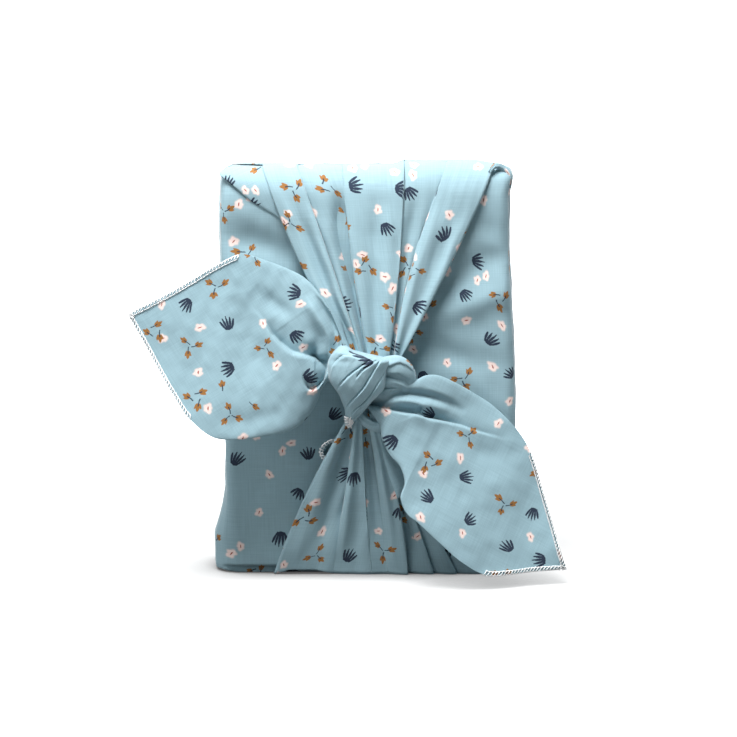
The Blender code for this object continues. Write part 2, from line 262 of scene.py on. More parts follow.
# Level sections, bottom to top. left, right, front and back say how far each side stands out past
# the box's own half width or half depth, and corner is the upright edge's radius.
PARCEL_COLUMNS = ("height", "left", "right", "front", "back", "corner")
PARCEL = (
    (0, -5, -5, -5, -3, 6),
    (1.2, -3.6, -2.8, -2.4, -1.2, 7),
    (3.2, -3.2, -1.4, -0.8, -0.4, 7.5),
    (6.4, -3, -0.6, 0, 0, 7.5),
    (20, -3.2, 0.2, 0.2, 0.3, 7),
    (50, -2.6, 0.4, 0, 0.4, 6.5),
    (85, -2.6, 0.6, 0, 0.8, 6),
    (125, -2, -0.4, 0.2, 1, 6),
    (165, -0.6, -2.6, 0, 0.8, 6),
    (200, 0.2, -4.4, 0, 0.5, 6),
    (226, -0.4, -4.6, 0, 0.3, 6.5),
    (231, -0.6, -4.2, -0.3, 0.3, 6.6),
    (234, -0.7, -3.6, -0.8, 0.2, 6.8),
    (238, -1, -2.6, -2.1, 0, 7),
    (241, -1.6, -2.6, -3.9, -0.5, 7),
    (243.8, -2.8, -3.6, -6.8, -1.6, 6.8),
    (245.2, -4.6, -5.4, -9.4, -3.2, 6.4),
    (246, -6.5, -7.5, -13.6, -5, 6),
)
# The sides in the order of a ring: the way out, how far the middle bows out, and the points along it.
# The front is run in two halves, from its middle to the right and back to it from the left.
SIDES = (((0, -1), 0.0, 52), ((1, 0), 1.8, 30), ((0, 1), 1.2, 78), ((-1, 0), 1.8, 30), ((0, -1), 0.0, 52))
CORNER_POINTS = 7
RING_STEP = 1.7  # between level sections of the mesh
FINE_STEP, FINE_BELOW = 0.45, 7.0  # the same near the base, for the hem
PANEL_HEM = 4.6  # the lower edge of the left front panel
HEM_DEPTH = 4.5
HEM_ENDS = (-54.0, -48.0)
HEM_BLUR = 0.12
FLARE = 7.0  # how far the cloth puffs out at the foot of the left side
FLARE_TOP, FLARE_FADE = 52.0, 30.0
FLARE_SIDE = (76.0, 84.0)  # from here to there leftward it grows
FLARE_BACK = (-27.0, -16.0)  # and from here to there, in y, toward the back
FLAPS = ((0.94, 0.85, 0.5), (0.9, 0.5, 0.8), (0.86, 0.02, 0.9))  # width, depth and rise of a ring
FLAP_STEP = 8.0  # between two of those rings on the flat cloth
TOP_FLAPS = (HEIGHT - 0.6, 0.5)  # the height of the flaps over the top, and what they keep of rise
FOOT_FLAPS = (0.3, 0.3)  # the same under the base
FACE_EDGE = (24.0, 27.0)  # from here to there, in y, an upright edge becomes front or back
BOX_WAVES = ((46.0, 0.35), (17.0, 0.12))
WAVES_FADE = 14.0  # how far from the base and the top those waves fade in

PANEL_FOLDS = (
    ridge(((44, 158, 0.6), (56, 161, 1), (68, 166, 1), (86, 171, 0.7)), 2.6, 8),
    trough(((44, 176, 1), (58, 184, 1), (71, 191, 0.9), (86, 194, 0.6)), 2.2, 8),
    trough(((30, 142, 1), (46, 134, 1), (62, 130, 0.6), (86, 128, 0.2)), 2.8, 8),
    trough(((40, 236, 0.3), (60, 214, 1), (80, 206, 1), (88, 205, 0.3)), 0.9, 7),
    trough(((-88, 208, 0.2), (-72, 202, 1), (-50, 196, 1)), 3.2, 9),
    trough(((-88, 66, 0.2), (-66, 58, 0.8), (-40, 60, 0.6)), 0.8, 10),
    ridge(((-80, 30, 0.3), (-62, 36, 0.8), (-46, 28, 0.6)), 0.7, 9),
    ridge(((-86, 110, 0.3), (-60, 78, 0.8), (-38, 66, 1)), 0.8, 6),
)
BACK_FOLDS = (
    trough(((-84, 240, 1), (-40, 176, 0.5), (-6, 128, 0.1)), 0.9, 6),
    trough(((84, 238, 1), (44, 180, 0.5), (12, 134, 0.1)), 0.9, 7),
    trough(((-84, 8, 1), (-48, 62, 0.5), (-14, 110, 0.1)), 0.8, 6),
    trough(((82, 8, 1), (52, 56, 0.5), (20, 102, 0.1)), 1, 7),
    ridge(((-60, 243, 0.9), (-34, 200, 0.5), (-22, 160, 0)), 0.6, 5),
    ridge(((52, 243, 0.9), (30, 204, 0.5), (16, 168, 0)), 0.6, 5),
    ridge(((-30, 4, 0.9), (-16, 36, 0.5), (-10, 70, 0)), 0.6, 5),
)


def ring_of(row):
    """One level section from the middle of the front round to the right, as x and y."""
    left, right = -HALF - row["left"], HALF + row["right"]
    front, back = FRONT - row["front"], BACK + row["back"]
    r = row["corner"]
    corners = ((right - r, front + r), (right - r, back - r), (left + r, back - r), (left + r, front + r))
    middle = (0.0, front)
    ring = [middle]

    def run_to(end, out, crown, count):
        begin = ring[-1]
        for step in range(1, count):
            part = step / count
            bow = crown * (1 - (2 * part - 1) ** 2)
            ring.append([b + (e - b) * part + bow * o for b, e, o in zip(begin, end, out)])

    for (x, y), side, start in zip(corners, SIDES, (-90.0, 0.0, 90.0, 180.0)):
        angles = np.radians(start + np.linspace(0, 90, CORNER_POINTS + 1))
        arc = [(x + r * math.cos(angle), y + r * math.sin(angle)) for angle in angles]
        run_to(arc[0], *side)
        ring += arc
    run_to(middle, *SIDES[-1])
    return ring


def body_heights():
    """Places along the table of level sections, close together at the panel's hem."""
    places = []
    for n, (low, high) in enumerate(zip(PARCEL, PARCEL[1:])):
        step = FINE_STEP if high[0] < FINE_BELOW else RING_STEP
        count = max(2, round((high[0] - low[0]) / step))
        places += [n + k / count for k in range(count)]
    return places + [len(PARCEL) - 1]


def flap_ring(ring, width, depth, height):
    """A level ring of the cloth turned in over the box's top or base."""
    flat = ring * np.array([[width, depth, 1.0]])
    flat[:, 2] = height
    return flat


def with_flaps(rings, u, v):
    """The rings with the cloth's turned-in flaps over the box's top and under its base."""
    (top, top_share), (foot, foot_share) = TOP_FLAPS, FOOT_FLAPS
    above = [flap_ring(rings[-1], w, d, top + rise * top_share) for w, d, rise in FLAPS]
    below = [flap_ring(rings[0], w, d, foot + rise * foot_share) for w, d, rise in reversed(FLAPS)]
    further = FLAP_STEP * np.arange(1, len(FLAPS) + 1)[:, None]
    v = np.concatenate([v[:1] - further[::-1], v, v[-1:] + further])
    u = np.concatenate([u[:3], u, u[:3]])
    return np.concatenate([below, rings, above]), u, v


def shape_foot(rings, on_front):
    """Puffs out the foot of the left side, and draws the cloth in below the left panel's hem."""
    x, y, z = np.moveaxis(rings, -1, 0)
    flare = FLARE * ramp(FLARE_TOP - z, 0, FLARE_FADE) ** 1.4 * np.clip(z / 3.0 + 0.45, 0, 1)
    x -= flare * ramp(-x, *FLARE_SIDE) * ramp(y, *FLARE_BACK) ** 0.8
    hem = past(PANEL_HEM - z, HEM_BLUR)
    y += HEM_DEPTH * hem * ramp(x, HEM_ENDS[1], HEM_ENDS[0]) * on_front


def wrapped_box():
    """The cloth over the box: both front panels, the sides and the back, with its turned-in flaps."""
    table = list(zip(*PARCEL))
    rows = named(PARCEL_COLUMNS, [[curve_through(c, p) for c in table] for p in body_heights()])
    rings = np.array([[(x, y, row["height"]) for x, y in ring_of(row)] for row in rows])
    u = np.tile(distances_along(rings[len(rings) // 2, :, :2]), (len(rings), 1))
    v = rings[:, :, 2].copy()
    on_front, on_back = ramp(-rings[..., 1], *FACE_EDGE), ramp(rings[..., 1], *FACE_EDGE)
    inside = ramp(v, 0, WAVES_FADE) * ramp(HEIGHT - v, 0, WAVES_FADE)
    side = np.sign(rings[..., 0])
    shape_foot(rings, on_front)
    rings = press_folds(rings, PANEL_FOLDS, -1.0, on_front)
    rings = press_folds(rings, BACK_FOLDS, 1.0, on_back)
    soft = rippled(11, BOX_WAVES, u, v) * inside
    rings[..., 1] += soft * (on_back - on_front)
    rings[..., 0] += soft * (1 - on_front) * (1 - on_back) * side
    rings, u, v = with_flaps(rings, u, v)
    return sheet_object("wrapped_box", rings, np.stack([u, v], -1), closed=True)


# ---------------------------------------------------------------- the gathers

# Folds, left to right. A fold runs from edge on the box's edge to knot at the knot, bowed sideways
# by bow, and spreads to back at the far edge of the top. before and after are the heights of the
# cloth just left and right of it, and sharp is where it turns from a soft wave into a lapped fold.
FOLD_COLUMNS = ("back", "edge", "bow", "knot", "before", "after", "sharp")
TOP_FOLDS = (
    (-84, -63, -3, -11.5, 0, 2.4, 0),
    (-54, -42, 1, -3.4, 2.9, 1.5, 0),
    (-27.5, -15.5, -1.5, 0.4, 0.5, 3.2, 0.35),
    (24, 21.5, 1.5, 12.6, 3.4, 1.3, 0),
    (54, 47, -5, 15.2, 1, 3, 0),
    (80, 75, 2, 19, 2.8, 0, 0),
)
BOTTOM_FOLDS = (
    (-74, -57, -3.5, -10, 0, 2.4, 0),
    (-39, -22, 0.8, -7.2, 0.3, 3.6, 0.25),
    (-14.8, 2.2, -1, -3.4, 3.8, 2.6, 0.5),
    (-4.9, 12.1, 0.8, -0.4, 1, 3.4, 0.5),
    (32, 24.2, 3.5, 3.2, 5, 0.2, 0),
    (50, 40, 0.5, 4.9, 3, 1, 0),
    (64, 54, -0.5, 6.2, 3.1, 1.2, 0),
    (80, 69.5, -1, 7.8, 2.4, 0, 0),
)
# Along a gather: the way to the knot, the cloth's lift off the box and the depth of its folds.
TOP_RUN = (
    (0, 0.3, 0.6),
    (0.12, 0.6, 0.9),
    (0.3, 1.6, 1.2),
    (0.5, 3.4, 1.4),
    (0.7, 6, 1.5),
    (0.86, 8.2, 1.4),
    (1, 9.6, 1.1),
)
BOTTOM_RUN = (
    (0, 0.2, 0.8),
    (0.14, 1.2, 1.1),
    (0.35, 3.4, 1.35),
    (0.55, 6, 1.5),
    (0.75, 9.2, 1.45),
    (0.9, 12.6, 1.15),
    (1, 17, 0.8),
)
# Soft folds within a band, counted from the left: where each lies across the band at the box's edge
# and at the knot, how wide and how high it is (low if negative), and the way at which it begins.
SWELL_COLUMNS = ("band", "top", "foot", "wide", "high", "begins")
TOP_SWELLS = (
    (0, 0.30, 0.25, 4.5, 0.7, 0),
    (0, 0.62, 0.58, 3.4, -3, 0.15),
    (0, 0.88, 0.86, 2.2, 0.9, 0.2),
    (1, 0.35, 0.30, 3, 0.6, 0),
    (1, 0.82, 0.78, 4.4, -5.6, 0.1),
    (2, 0.10, 0.12, 2.8, 1, 0.1),
    (2, 0.52, 0.44, 4.6, -2.3, 0.12),
    (2, 0.80, 0.76, 3, 0.5, 0.1),
    (3, 0.40, 0.45, 3.8, -2, 0.05),
    (4, 0.14, 0.20, 2.4, 0.9, 0.05),
    (4, 0.50, 0.60, 5, -1.4, 0.15),
    (4, 0.84, 0.86, 2.6, 0.7, 0.1),
)
BOTTOM_SWELLS = (
    (0, 0.30, 0.30, 4, 0.7, 0),
    (0, 0.70, 0.66, 3.8, -2.4, 0.1),
    (1, 0.18, 0.20, 2.6, 1, 0),
    (1, 0.62, 0.60, 4.2, -1.3, 0),
    (2, 0.50, 0.50, 2.8, -1.2, 0.1),
    (3, 0.30, 0.35, 2.2, 0.8, 0),
    (3, 0.70, 0.70, 2.4, -0.9, 0.1),
    (4, 0.50, 0.50, 3.4, -1, 0),
    (5, 0.50, 0.50, 3.4, -0.9, 0),
    (6, 0.35, 0.40, 3, 0.8, 0),
    (6, 0.70, 0.70, 3, -0.8, 0.1),
)
# How each gather bends over the box's edge: how far down and how far back the bend reaches, and how
# gently it begins.
EDGE_BENDS = {"top_gather": (20.0, 13.0, 2.6), "bottom_gather": (2.4, 2.2, 2.0)}
BACK_TURN = 6.0  # radius of the top gather's bend over the box's upper back edge
BACK_REACH = 16.0  # how far it runs down behind the box below that bend
BACK_STANDS = 1.5  # how far behind the box's back it lies there
BACK_SINK = 4.0  # how far its lower edge there lies inside the back's own cloth
BACK_ROWS = 10
# Where along X the gathers' far edges rise or fall, over how many millimetres, and by how much.
TOP_RISE = (16.0, 6.0, 2.2)
TOP_FALL = (60.0, 18.0, 1.9)
FOOT_RISE = (-58.0, 12.0, 2.8)
FOOT_FALL = (-34.0, 16.0, 1.0)
# edge_z and knot_z are the heights at which a gather's way begins and ends.
GATHERS = {
    "top_gather": dict(
        folds=TOP_FOLDS, swells=TOP_SWELLS, run=TOP_RUN, edge_z=HEIGHT - 1.5, knot_z=132.0,
        back_y=BACK + BACK_STANDS - BACK_TURN, over=True, seed=21,
    ),
    "bottom_gather": dict(
        folds=BOTTOM_FOLDS, swells=BOTTOM_SWELLS, run=BOTTOM_RUN, edge_z=0.5, knot_z=101.0,
        back_y=BACK - 2, over=False, seed=25,
    ),
}
BACK_U = WIDTH + DEPTH - 12.0  # about where the middle of the back lies, round the parcel
BAND_POINTS = 22
BAND_ENDS = (0.02, 0.98)
TURN_STATIONS = 20
LEVEL_STEP, FRONT_STEP = 1.2, 0.9  # between stations on the level face and on the front
LEVEL_SHARE = 0.6  # what the folds keep of their lift and depth on the level face
LEVEL_LIFT = 0.3
UNDERLAP = 5.0  # how far a layer runs on beneath the one over it
RIM = ((UNDERLAP + 3, 0.35), (0.6, 0.4), (0.0, 0.7))  # a gather's own border: how far in, and how high
FLOOR_GAP = 0.15
TURN = 0.42  # half the gap between the two layers at a fold
BAND_CROWN, CROWN_WIDTH = 1.0, 14.0  # how far a band this wide or wider stands out between its folds
SHARP_GROWS, LAP_GROWS = 0.2, 0.25  # part of the way in which a late fold steps up, and laps over
FULL_LAP = 0.9  # the step between two layers from which a lap is full
# Unevenness: the waves' length across the folds, their height, and how much slower they run along.
CREASES = (7.0, 0.16, 0.22)
WAVES = (22.0, 0.22, 0.6)


def edge_bend(name, part):
    """A bend at a part of its way from the front (0) to the level face (1): how far back, how far
    toward that face, and the unit way out of it."""
    reach, back, gentle = EDGE_BENDS[name]
    angle = part * math.pi / 2
    along, across = math.sin(angle) ** (2 / gentle), 1 - math.cos(angle)
    out, up = math.cos(angle) / back, along ** (gentle - 1) * gentle / 2 / reach
    length = math.hypot(out, up)
    return back * across, reach * along, out / length, up / length


def bent_back(z, name):
    """How far back the front of a bend lies at heights z."""
    reach, back, gentle = EDGE_BENDS[name]
    above = np.clip((z - (HEIGHT - reach)) / reach, 0, 0.999)
    return back * (1 - np.sqrt(1 - above**gentle))


def behind_box(lift):
    """Stations of the top gather up the box's back and round its upper back edge."""
    low, middle = HEIGHT - BACK_TURN, BACK + BACK_STANDS - BACK_TURN
    stations = []
    for n in range(BACK_ROWS):
        below = 1 - n / BACK_ROWS
        y = BACK + BACK_STANDS - BACK_SINK * below**2
        stations.append((y, low - BACK_REACH * below, 1.0, 0.0, 0.0, 1.0, lift, 0.0))
    for n in range(BACK_ROWS):
        angle = math.pi / 2 * n / BACK_ROWS
        out, up = math.cos(angle), math.sin(angle)
        stations.append((middle + BACK_TURN * out, low + BACK_TURN * up, out, up, 0.0, 1.0, lift, 0.0))
    return stations


def gather_path(name, edge_z, knot_z, run, back_y, over):
    """Stations from the far side of the box over its edge and down the front to the knot."""
    up = 1.0 if over else -1.0
    level = HEIGHT if over else 0.0
    reach, back, _ = EDGE_BENDS[name]
    turn_y, turn_z = FRONT + back, level - up * reach

    def way_at(z):
        return min(max((z - edge_z) / (knot_z - edge_z), 0.0), 1.0)

    first_lift = run[0][1] * LEVEL_SHARE + LEVEL_LIFT
    stations = behind_box(first_lift) if over else []
    count = int((back_y - turn_y) / LEVEL_STEP)
    for n in range(count):
        y = back_y + (turn_y - back_y) * n / count
        spread = (y - turn_y) / (back_y - turn_y)
        depth = run[0][2] * LEVEL_SHARE * (1 - spread**1.5)
        stations.append((y, level, 0.0, up, 0.0, spread, first_lift, depth))
    for n in range(TURN_STATIONS):
        behind, above, out, rise = edge_bend(name, 1 - n / TURN_STATIONS)
        z = turn_z + up * above
        _, lift, depth = along_table(run, way_at(z))
        depth *= LEVEL_SHARE + (1 - LEVEL_SHARE) * ease(n / TURN_STATIONS)
        stations.append((FRONT + behind, z, -out, up * rise, way_at(z), 0.0, lift, depth))
    count = int(abs(knot_z - turn_z) / FRONT_STEP)
    for n in range(count + 1):
        z = turn_z + (knot_z - turn_z) * n / count
        _, lift, depth = along_table(run, way_at(z))
        stations.append((FRONT, z, -1.0, 0.0, way_at(z), 0.0, lift, depth))
    return stations


def fold_places(folds, way, spread):
    """The folds' places along X at a way to the knot, or spread toward the far edge."""
    places = []
    for fold in folds:
        x = fold["edge"] + (fold["knot"] - fold["edge"]) * way + fold["bow"] * 4 * way * (1 - way)
        places.append(x + (fold["back"] - x) * spread)
    return places


def turn_points(x, before, after, lap):
    """The hidden part of a fold, from the layer on its left to the layer on its right."""
    top, low = max(before, after), min(before, after)
    under = top - 2 * TURN * min(1.0, lap / 2.0)
    shape = [(-0.1, top), (0.25, (top + under) / 2), (-0.1, under), (-0.5 * lap, (under + low) / 2 + 0.1)]
    shape += [(-lap, low + 0.25), (-lap - 0.2, low + 0.1), (-lap, low)]
    shape = [(min(max(dx, -lap - 0.2), 0.25 * min(1.0, lap)), h) for dx, h in shape]
    if before >= after:
        return [(x + dx, h) for dx, h in shape] + [(x + 0.2, low)]
    return [(x - 0.2, low)] + [(x - dx, h) for dx, h in reversed(shape)]


def swell_heights(swells, band, part, width, way, depth):
    """The height that the soft folds within a band add at each place across it."""
    added = np.zeros_like(part)
    for swell in swells:
        if swell["band"] == band:
            middle = swell["top"] + (swell["foot"] - swell["top"]) * way
            wide = min(swell["wide"], 0.3 * width)
            grown = ease((way - swell["begins"] + 0.05) / 0.3) * depth * math.sqrt(wide / swell["wide"])
            added += swell["high"] * grown * np.exp(-(((part - middle) * width / wide) ** 2))
    return added


def gather_section(folds, swells, places, way, lift, depth):
    """A gather's section: x, height and place across the flat cloth."""
    keeps = [ease(way / (fold["sharp"] + SHARP_GROWS)) if fold["sharp"] else 1.0 for fold in folds]
    heights = []
    for fold, keep in zip(folds, keeps):
        level = (fold["before"] + fold["after"]) / 2
        step = (fold["after"] - fold["before"]) / 2 * keep
        heights.append(((level - step) * depth + lift, (level + step) * depth + lift))
    last = len(folds) - 1
    origins = [BACK_U - fold["back"] for fold in folds]
    first, final = heights[0][1], heights[last][0]
    section = [(places[0] + inward, first * share, origins[0] + inward) for inward, share in RIM]
    for k in range(last):
        width = places[k + 1] - places[k]
        start, end = heights[k][1], heights[k + 1][0]
        crown = BAND_CROWN * depth * min(1.0, width / CROWN_WIDTH) * math.sqrt(keeps[k] * keeps[k + 1])
        part = np.linspace(*BAND_ENDS, BAND_POINTS)
        rise = start + (end - start) * ease(part) + crown * np.sin(math.pi * part) ** 0.8
        rise += swell_heights(swells, k, part, width, way, depth)
        section += zip(places[k] + width * part, rise, origins[k] - width * part)
        if k + 1 < last:
            before, after = heights[k + 1]
            sharp = folds[k + 1]["sharp"]
            lap = UNDERLAP * ease((way - sharp) / LAP_GROWS + (sharp == 0))
            lap = min(lap * min(1.0, abs(before - after) / FULL_LAP), 0.8 * width)
            hidden = turn_points(places[k + 1], before, after, lap)
            begin, end = origins[k] - width, origins[k + 1]
            for n, (x, h) in enumerate(hidden):
                section.append((x, h, begin + (end - begin) * (n + 1) / (len(hidden) + 1)))
    for inward, share in reversed(RIM):
        section.append((places[last] - inward, final * share, origins[last] + inward))
    return section


def step_at(x, begin, reach, high):
    """A smooth step along X."""
    return high * ease((x - begin) / reach)


def gather(name, folds, swells, run, edge_z, knot_z, back_y, over, seed):
    """The cloth that runs over one edge of the box and fans in to the knot."""
    folds, swells = named(FOLD_COLUMNS, folds), named(SWELL_COLUMNS, swells)
    uneven = [(Ripples(seed + n, row[0]), *row[1:]) for n, row in enumerate((CREASES, WAVES))]
    travelled = HEIGHT + 6.0 if over else -6.0
    previous = None
    grid, uv = [], []
    for y, z, ny, nz, way, spread, lift, depth in gather_path(name, edge_z, knot_z, run, back_y, over):
        if previous:
            travelled += math.dist((y, z), previous) * (1 if over else -1)
        previous = (y, z)
        section = gather_section(folds, swells, fold_places(folds, way, spread), way, lift, depth)
        x, h, u = np.transpose(section)
        h = h + depth * sum(high * waves.at(u, travelled * share) for waves, high, share in uneven)
        if over:
            points_z = z + nz * (h + step_at(x, *TOP_RISE) - step_at(x, *TOP_FALL))
        else:
            foot = FLOOR_GAP + step_at(x, *FOOT_RISE) * (1 - step_at(x, *FOOT_FALL))
            points_z = np.maximum(z + nz * h, foot)
        grid.append(np.stack([x, y + ny * h, points_z], -1))
        uv.append(np.stack([u, np.full_like(u, travelled)], -1))
    return sheet_object(name, np.array(grid), np.array(uv), flip=over)


# ---------------------------------------------------------------- the knot

KNOT_COLUMNS = ("height", "left", "right", "front", "back")
KNOT = (
    (93.2, -12.2, -10.6, -48.5, -46),
    (95.4, -13.6, -9, -52, -43),
    (98.2, -13.8, -6.3, -55, -40),
    (101.4, -13.6, -3.4, -57.5, -38),
    (105, -14.2, -0.4, -60, -36),
    (109, -15.8, 2.9, -62.5, -34),
    (112.5, -17.2, 6.3, -64.5, -33),
    (116, -19.4, 9.4, -66.2, -32),
    (120, -22.2, 10.4, -67.4, -31),
    (124, -23.4, 10.6, -67.8, -31),
    (128, -23.8, 11.3, -67.6, -32),
    (131.2, -23.8, 12.3, -67.2, -33),
    (133.8, -23, 11.5, -66.4, -35),
    (136.2, -21.8, 2.5, -65.4, -38),
    (138.6, -20, -7.6, -63.4, -40),
    (140.6, -17.8, -11, -59.5, -42),
    (141.9, -15.6, -13.2, -53, -44),
)
KNOT_PRINT = (68.0, (267.9, 42.8))  # how the print lies on it: turn and shift
KNOT_POINTS = 280
KNOT_STEPS = 11
FRONT_SHARE = 0.62  # how much closer together the points are at the front
SQUARE_X, SQUARE_Y = 0.9, 0.86  # powers below 1 make its section squarer than an oval
KNOT_WAVE, KNOT_UNEVEN = 9.0, 0.12
PLEAT = dict(high=0.55, high_reach=3.0, low=0.55, low_reach=2.4, edge=0.3, side=1)
GROOVE = (1.5, 0.5)  # how low and how wide
PLEATS = (
    ((1, 134.6, 0.7), (-3.7, 131.6, 1), (-8.4, 128.2, 1), (-11.9, 125.3, 1), (-14.9, 122, 1),
     (-17.4, 118.5, 0.8), (-19, 116, 0.2)),
    ((4.6, 134.2, 0.8), (-0.3, 131.2, 1), (-3.7, 128.7, 1), (-5.7, 126.1, 0.7), (-7, 124, 0)),
    ((7.5, 134.5, 0.5), (6.3, 133, 1), (3.5, 128.8, 1), (0.5, 123.7, 1), (-2, 119.4, 1), (-5.5, 115.1, 1),
     (-9.3, 110.8, 1), (-11.9, 107.3, 0.8), (-13.6, 104.5, 0.3)),
    ((10.2, 128.6, 0.3), (8.6, 124.6, 1), (5.7, 120.4, 1), (2.2, 115.2, 1), (-1.2, 110.9, 1),
     (-4.6, 107.3, 1), (-7.4, 104.8, 0.8), (-9.6, 102, 0.2)),
    ((8.4, 117, 0.1), (3.4, 111.2, 0.6), (-1.8, 105.6, 0.7), (-6.8, 100.4, 0.7), (-9, 98, 0.3)),
)
KNOT_FOLDS = tuple(lapped(line, **PLEAT) for line in PLEATS)
KNOT_FOLDS += tuple(trough(line, *GROOVE) for line in PLEATS)
KNOT_FOLDS += (
    lapped(((-22.5, 125, 0.3), (-20.9, 130.3, 0.8), (-18.8, 133.4, 1), (-16.9, 135.6, 1),
        (-14.4, 137.2, 1), (-11.2, 137.2, 1), (-6.5, 136, 0.3)), side=-1, high=0.7, high_reach=3, low=1.7,
        low_reach=4, lap=0.5),
    trough(((-19.2, 132.2, 0.4), (-17.6, 134.6, 1), (-15.6, 136.2, 1), (-13.6, 137.2, 0.3)), 1.4, 0.6),
    ridge(((-14, 122, 0.4), (-4, 112, 1), (4, 104, 0.4)), 0.8, 4),
)


def knot_wrap():
    """The band of cloth that passes over the front of the knot, with its pleats."""
    rows = named(KNOT_COLUMNS, refined(KNOT, KNOT_STEPS))
    around = FULL_TURN * np.arange(KNOT_POINTS) / KNOT_POINTS
    angles = around + FRONT_SHARE * np.sin(around) + math.pi / 2
    across, deep = np.cos(angles), np.sin(angles)
    across = np.sign(across) * np.abs(across) ** SQUARE_X
    deep = np.sign(deep) * np.abs(deep) ** SQUARE_Y
    grid, uv = [], []
    for row in rows:
        x = (row["left"] + row["right"]) / 2 + (row["right"] - row["left"]) / 2 * across
        y = (row["front"] + row["back"]) / 2 + (row["back"] - row["front"]) / 2 * deep
        z = np.full_like(x, row["height"])
        travelled = distances_along(np.stack([x, y], -1))
        grid.append(np.stack([x, y, z], -1))
        uv.append(np.stack([travelled - travelled[KNOT_POINTS // 2], z], -1))
    grid, uv = np.array(grid), turned(np.array(uv), *KNOT_PRINT)
    facing = np.clip(-np.sin(angles), 0, 1)[None] ** 0.6 * np.ones((len(rows), 1))
    grid = press_folds(grid, KNOT_FOLDS, -1.0, facing)
    x, y, z = np.moveaxis(grid, -1, 0)
    slanted = (x * 1.6 - z * 0.9, z * 0.5 + x * 0.3)
    y -= facing * KNOT_UNEVEN * Ripples(31, KNOT_WAVE).at(*slanted)
    return sheet_object("knot_wrap", grid, uv, closed=True)


# Rolled bands round the knot: the middle line, the half width in the front view and the half depth
# at each point, and the folds pressed into them.
ROLLS = {
    "right_loop": dict(
        path=((4, -46, 127.5, 5, 6), (11, -48.5, 129.2, 6, 6), (16.5, -48.5, 128.4, 7.6, 5.6),
              (20.6, -47, 125.6, 7, 5.2), (22.6, -44.5, 120.6, 6, 4.6), (22, -41, 113, 5, 4)),
        folds=(
            lapped(((10, 130, 0.5), (13.3, 130.4, 1), (15.9, 131.7, 1), (18.5, 132.1, 1),
                (22.7, 130.4, 1), (27, 126.5, 0.6)), side=1, high=0.9, high_reach=2.4, low=0.7,
                low_reach=2.2, lap=0.4),
            lapped(((10.5, 126, 0.8), (12.5, 125.6, 1), (17.6, 125.6, 1), (19.3, 124.8, 1),
                (22.7, 122.6, 1)), side=1, high=0.6, high_reach=2, low=1.6, low_reach=1.6, lap=0.5),
        ),
        seed=41,
    ),
    "lower_loop": dict(
        path=((4, -46, 121.5, 4, 5), (11, -48, 120.5, 4.4, 5), (17, -47.5, 119.5, 4.4, 4.6),
              (22, -45, 117, 4, 4.2)),
        folds=(),
        seed=42,
    ),
    "lower_collar": dict(
        path=((-9, -42, 106, 3, 3.6), (-4.6, -45.5, 100.4, 3.4, 3.8), (-0.6, -47.5, 96.4, 3.6, 4),
              (4.6, -48, 93.8, 3.6, 4), (11, -46.5, 93, 3.4, 3.8), (18, -43, 95, 3, 3.6)),
        folds=(
            lapped(((-4, 102.6, 0.5), (-1.2, 99.7, 1), (3.5, 96.7, 1), (9.1, 96.3, 0.8)), side=-1,
                high=0.7, high_reach=1.6, low=2.2, low_reach=2.4, edge=0.3),
        ),
        seed=43,
    ),
    "left_root": dict(
        path=((-12, -44, 128, 6, 5), (-19, -43, 128.4, 5.6, 4.6), (-25, -41, 129, 4.6, 4),
              (-31, -38, 131, 4, 3.4)),
        folds=(),
        seed=44,
    ),
}
ROLL_POINTS = 56
ROLL_STEPS = 14
ROLL_RADIUS = 5.0  # the one that its print is laid out for
ROLL_WAVE, ROLL_UNEVEN = 5.0, 0.18
PRINT_APART = 31.0  # how far apart on the print the rolls' patches lie


def rolled_band(name, path, folds, seed):
    """A rolled band of cloth along a path, oval in section."""
    line = np.array(refined(path, ROLL_STEPS))
    spine, wide, deep = line[:, :3], line[:, 3, None, None], line[:, 4, None, None]
    ahead = np.gradient(spine, axis=0)
    side = units(np.cross(ahead, [0.0, 1.0, 0.0]))
    out = units(np.cross(side, ahead))
    angles = FULL_TURN * np.arange(ROLL_POINTS) / ROLL_POINTS
    around = angles[:, None]
    grid = spine[:, None] + side[:, None] * wide * np.cos(around) + out[:, None] * deep * np.sin(around)
    u = np.tile(angles * ROLL_RADIUS, (len(spine), 1)) + seed * PRINT_APART
    v = np.tile(distances_along(spine)[:, None], (1, ROLL_POINTS))
    grid[..., 1] -= ROLL_UNEVEN * Ripples(seed, ROLL_WAVE).at(u * 1.4, v * 0.35)
    return sheet_object(name, press_folds(grid, folds), np.stack([u, v], -1), closed=True)


# ---------------------------------------------------------------- the tails

# Sections from the knot out to the tip. up and low are the two borders in the front view, edge is
# the borders' own y, and crown is how far the middle stands out in front of them. lean brings the
# low border forward, so the face turns a little upward, and roll turns the borders back behind.
TAIL_COLUMNS = ("up_x", "up_z", "low_x", "low_z", "edge", "crown", "lean", "roll")
LEFT_TAIL = (
    (-9, 133, -13, 121, -49, 5, 0, 0.6),
    (-16, 147, -25, 119, -48, 8, 0, 0.8),
    (-20.6, 158.6, -30.7, 107, -46, 12, 2, 1),
    (-28.2, 171, -36.7, 98, -44, 15, 5, 1),
    (-37, 180.4, -46.2, 92, -43, 13, 10, 1),
    (-47, 185.7, -59.2, 90, -42, 11, 13, 0.9),
    (-60.4, 190.8, -75.8, 88.2, -43, 8, 15, 0.7),
    (-73.8, 194.6, -90.4, 90, -45, 5.6, 15, 0.4),
    (-87.9, 189, -103.8, 100.6, -46.5, 4, 13, 0.1),
    (-101.5, 181, -112.8, 113.4, -48, 3.2, 10, 0),
    (-114.6, 173.6, -122, 128.6, -49, 2.5, 5, 0),
    (-127, 167.2, -130.6, 144, -50, 1, 2, 0),
    (-138.6, 161.6, -139.4, 159.4, -50.5, 0, 0, 0),
)
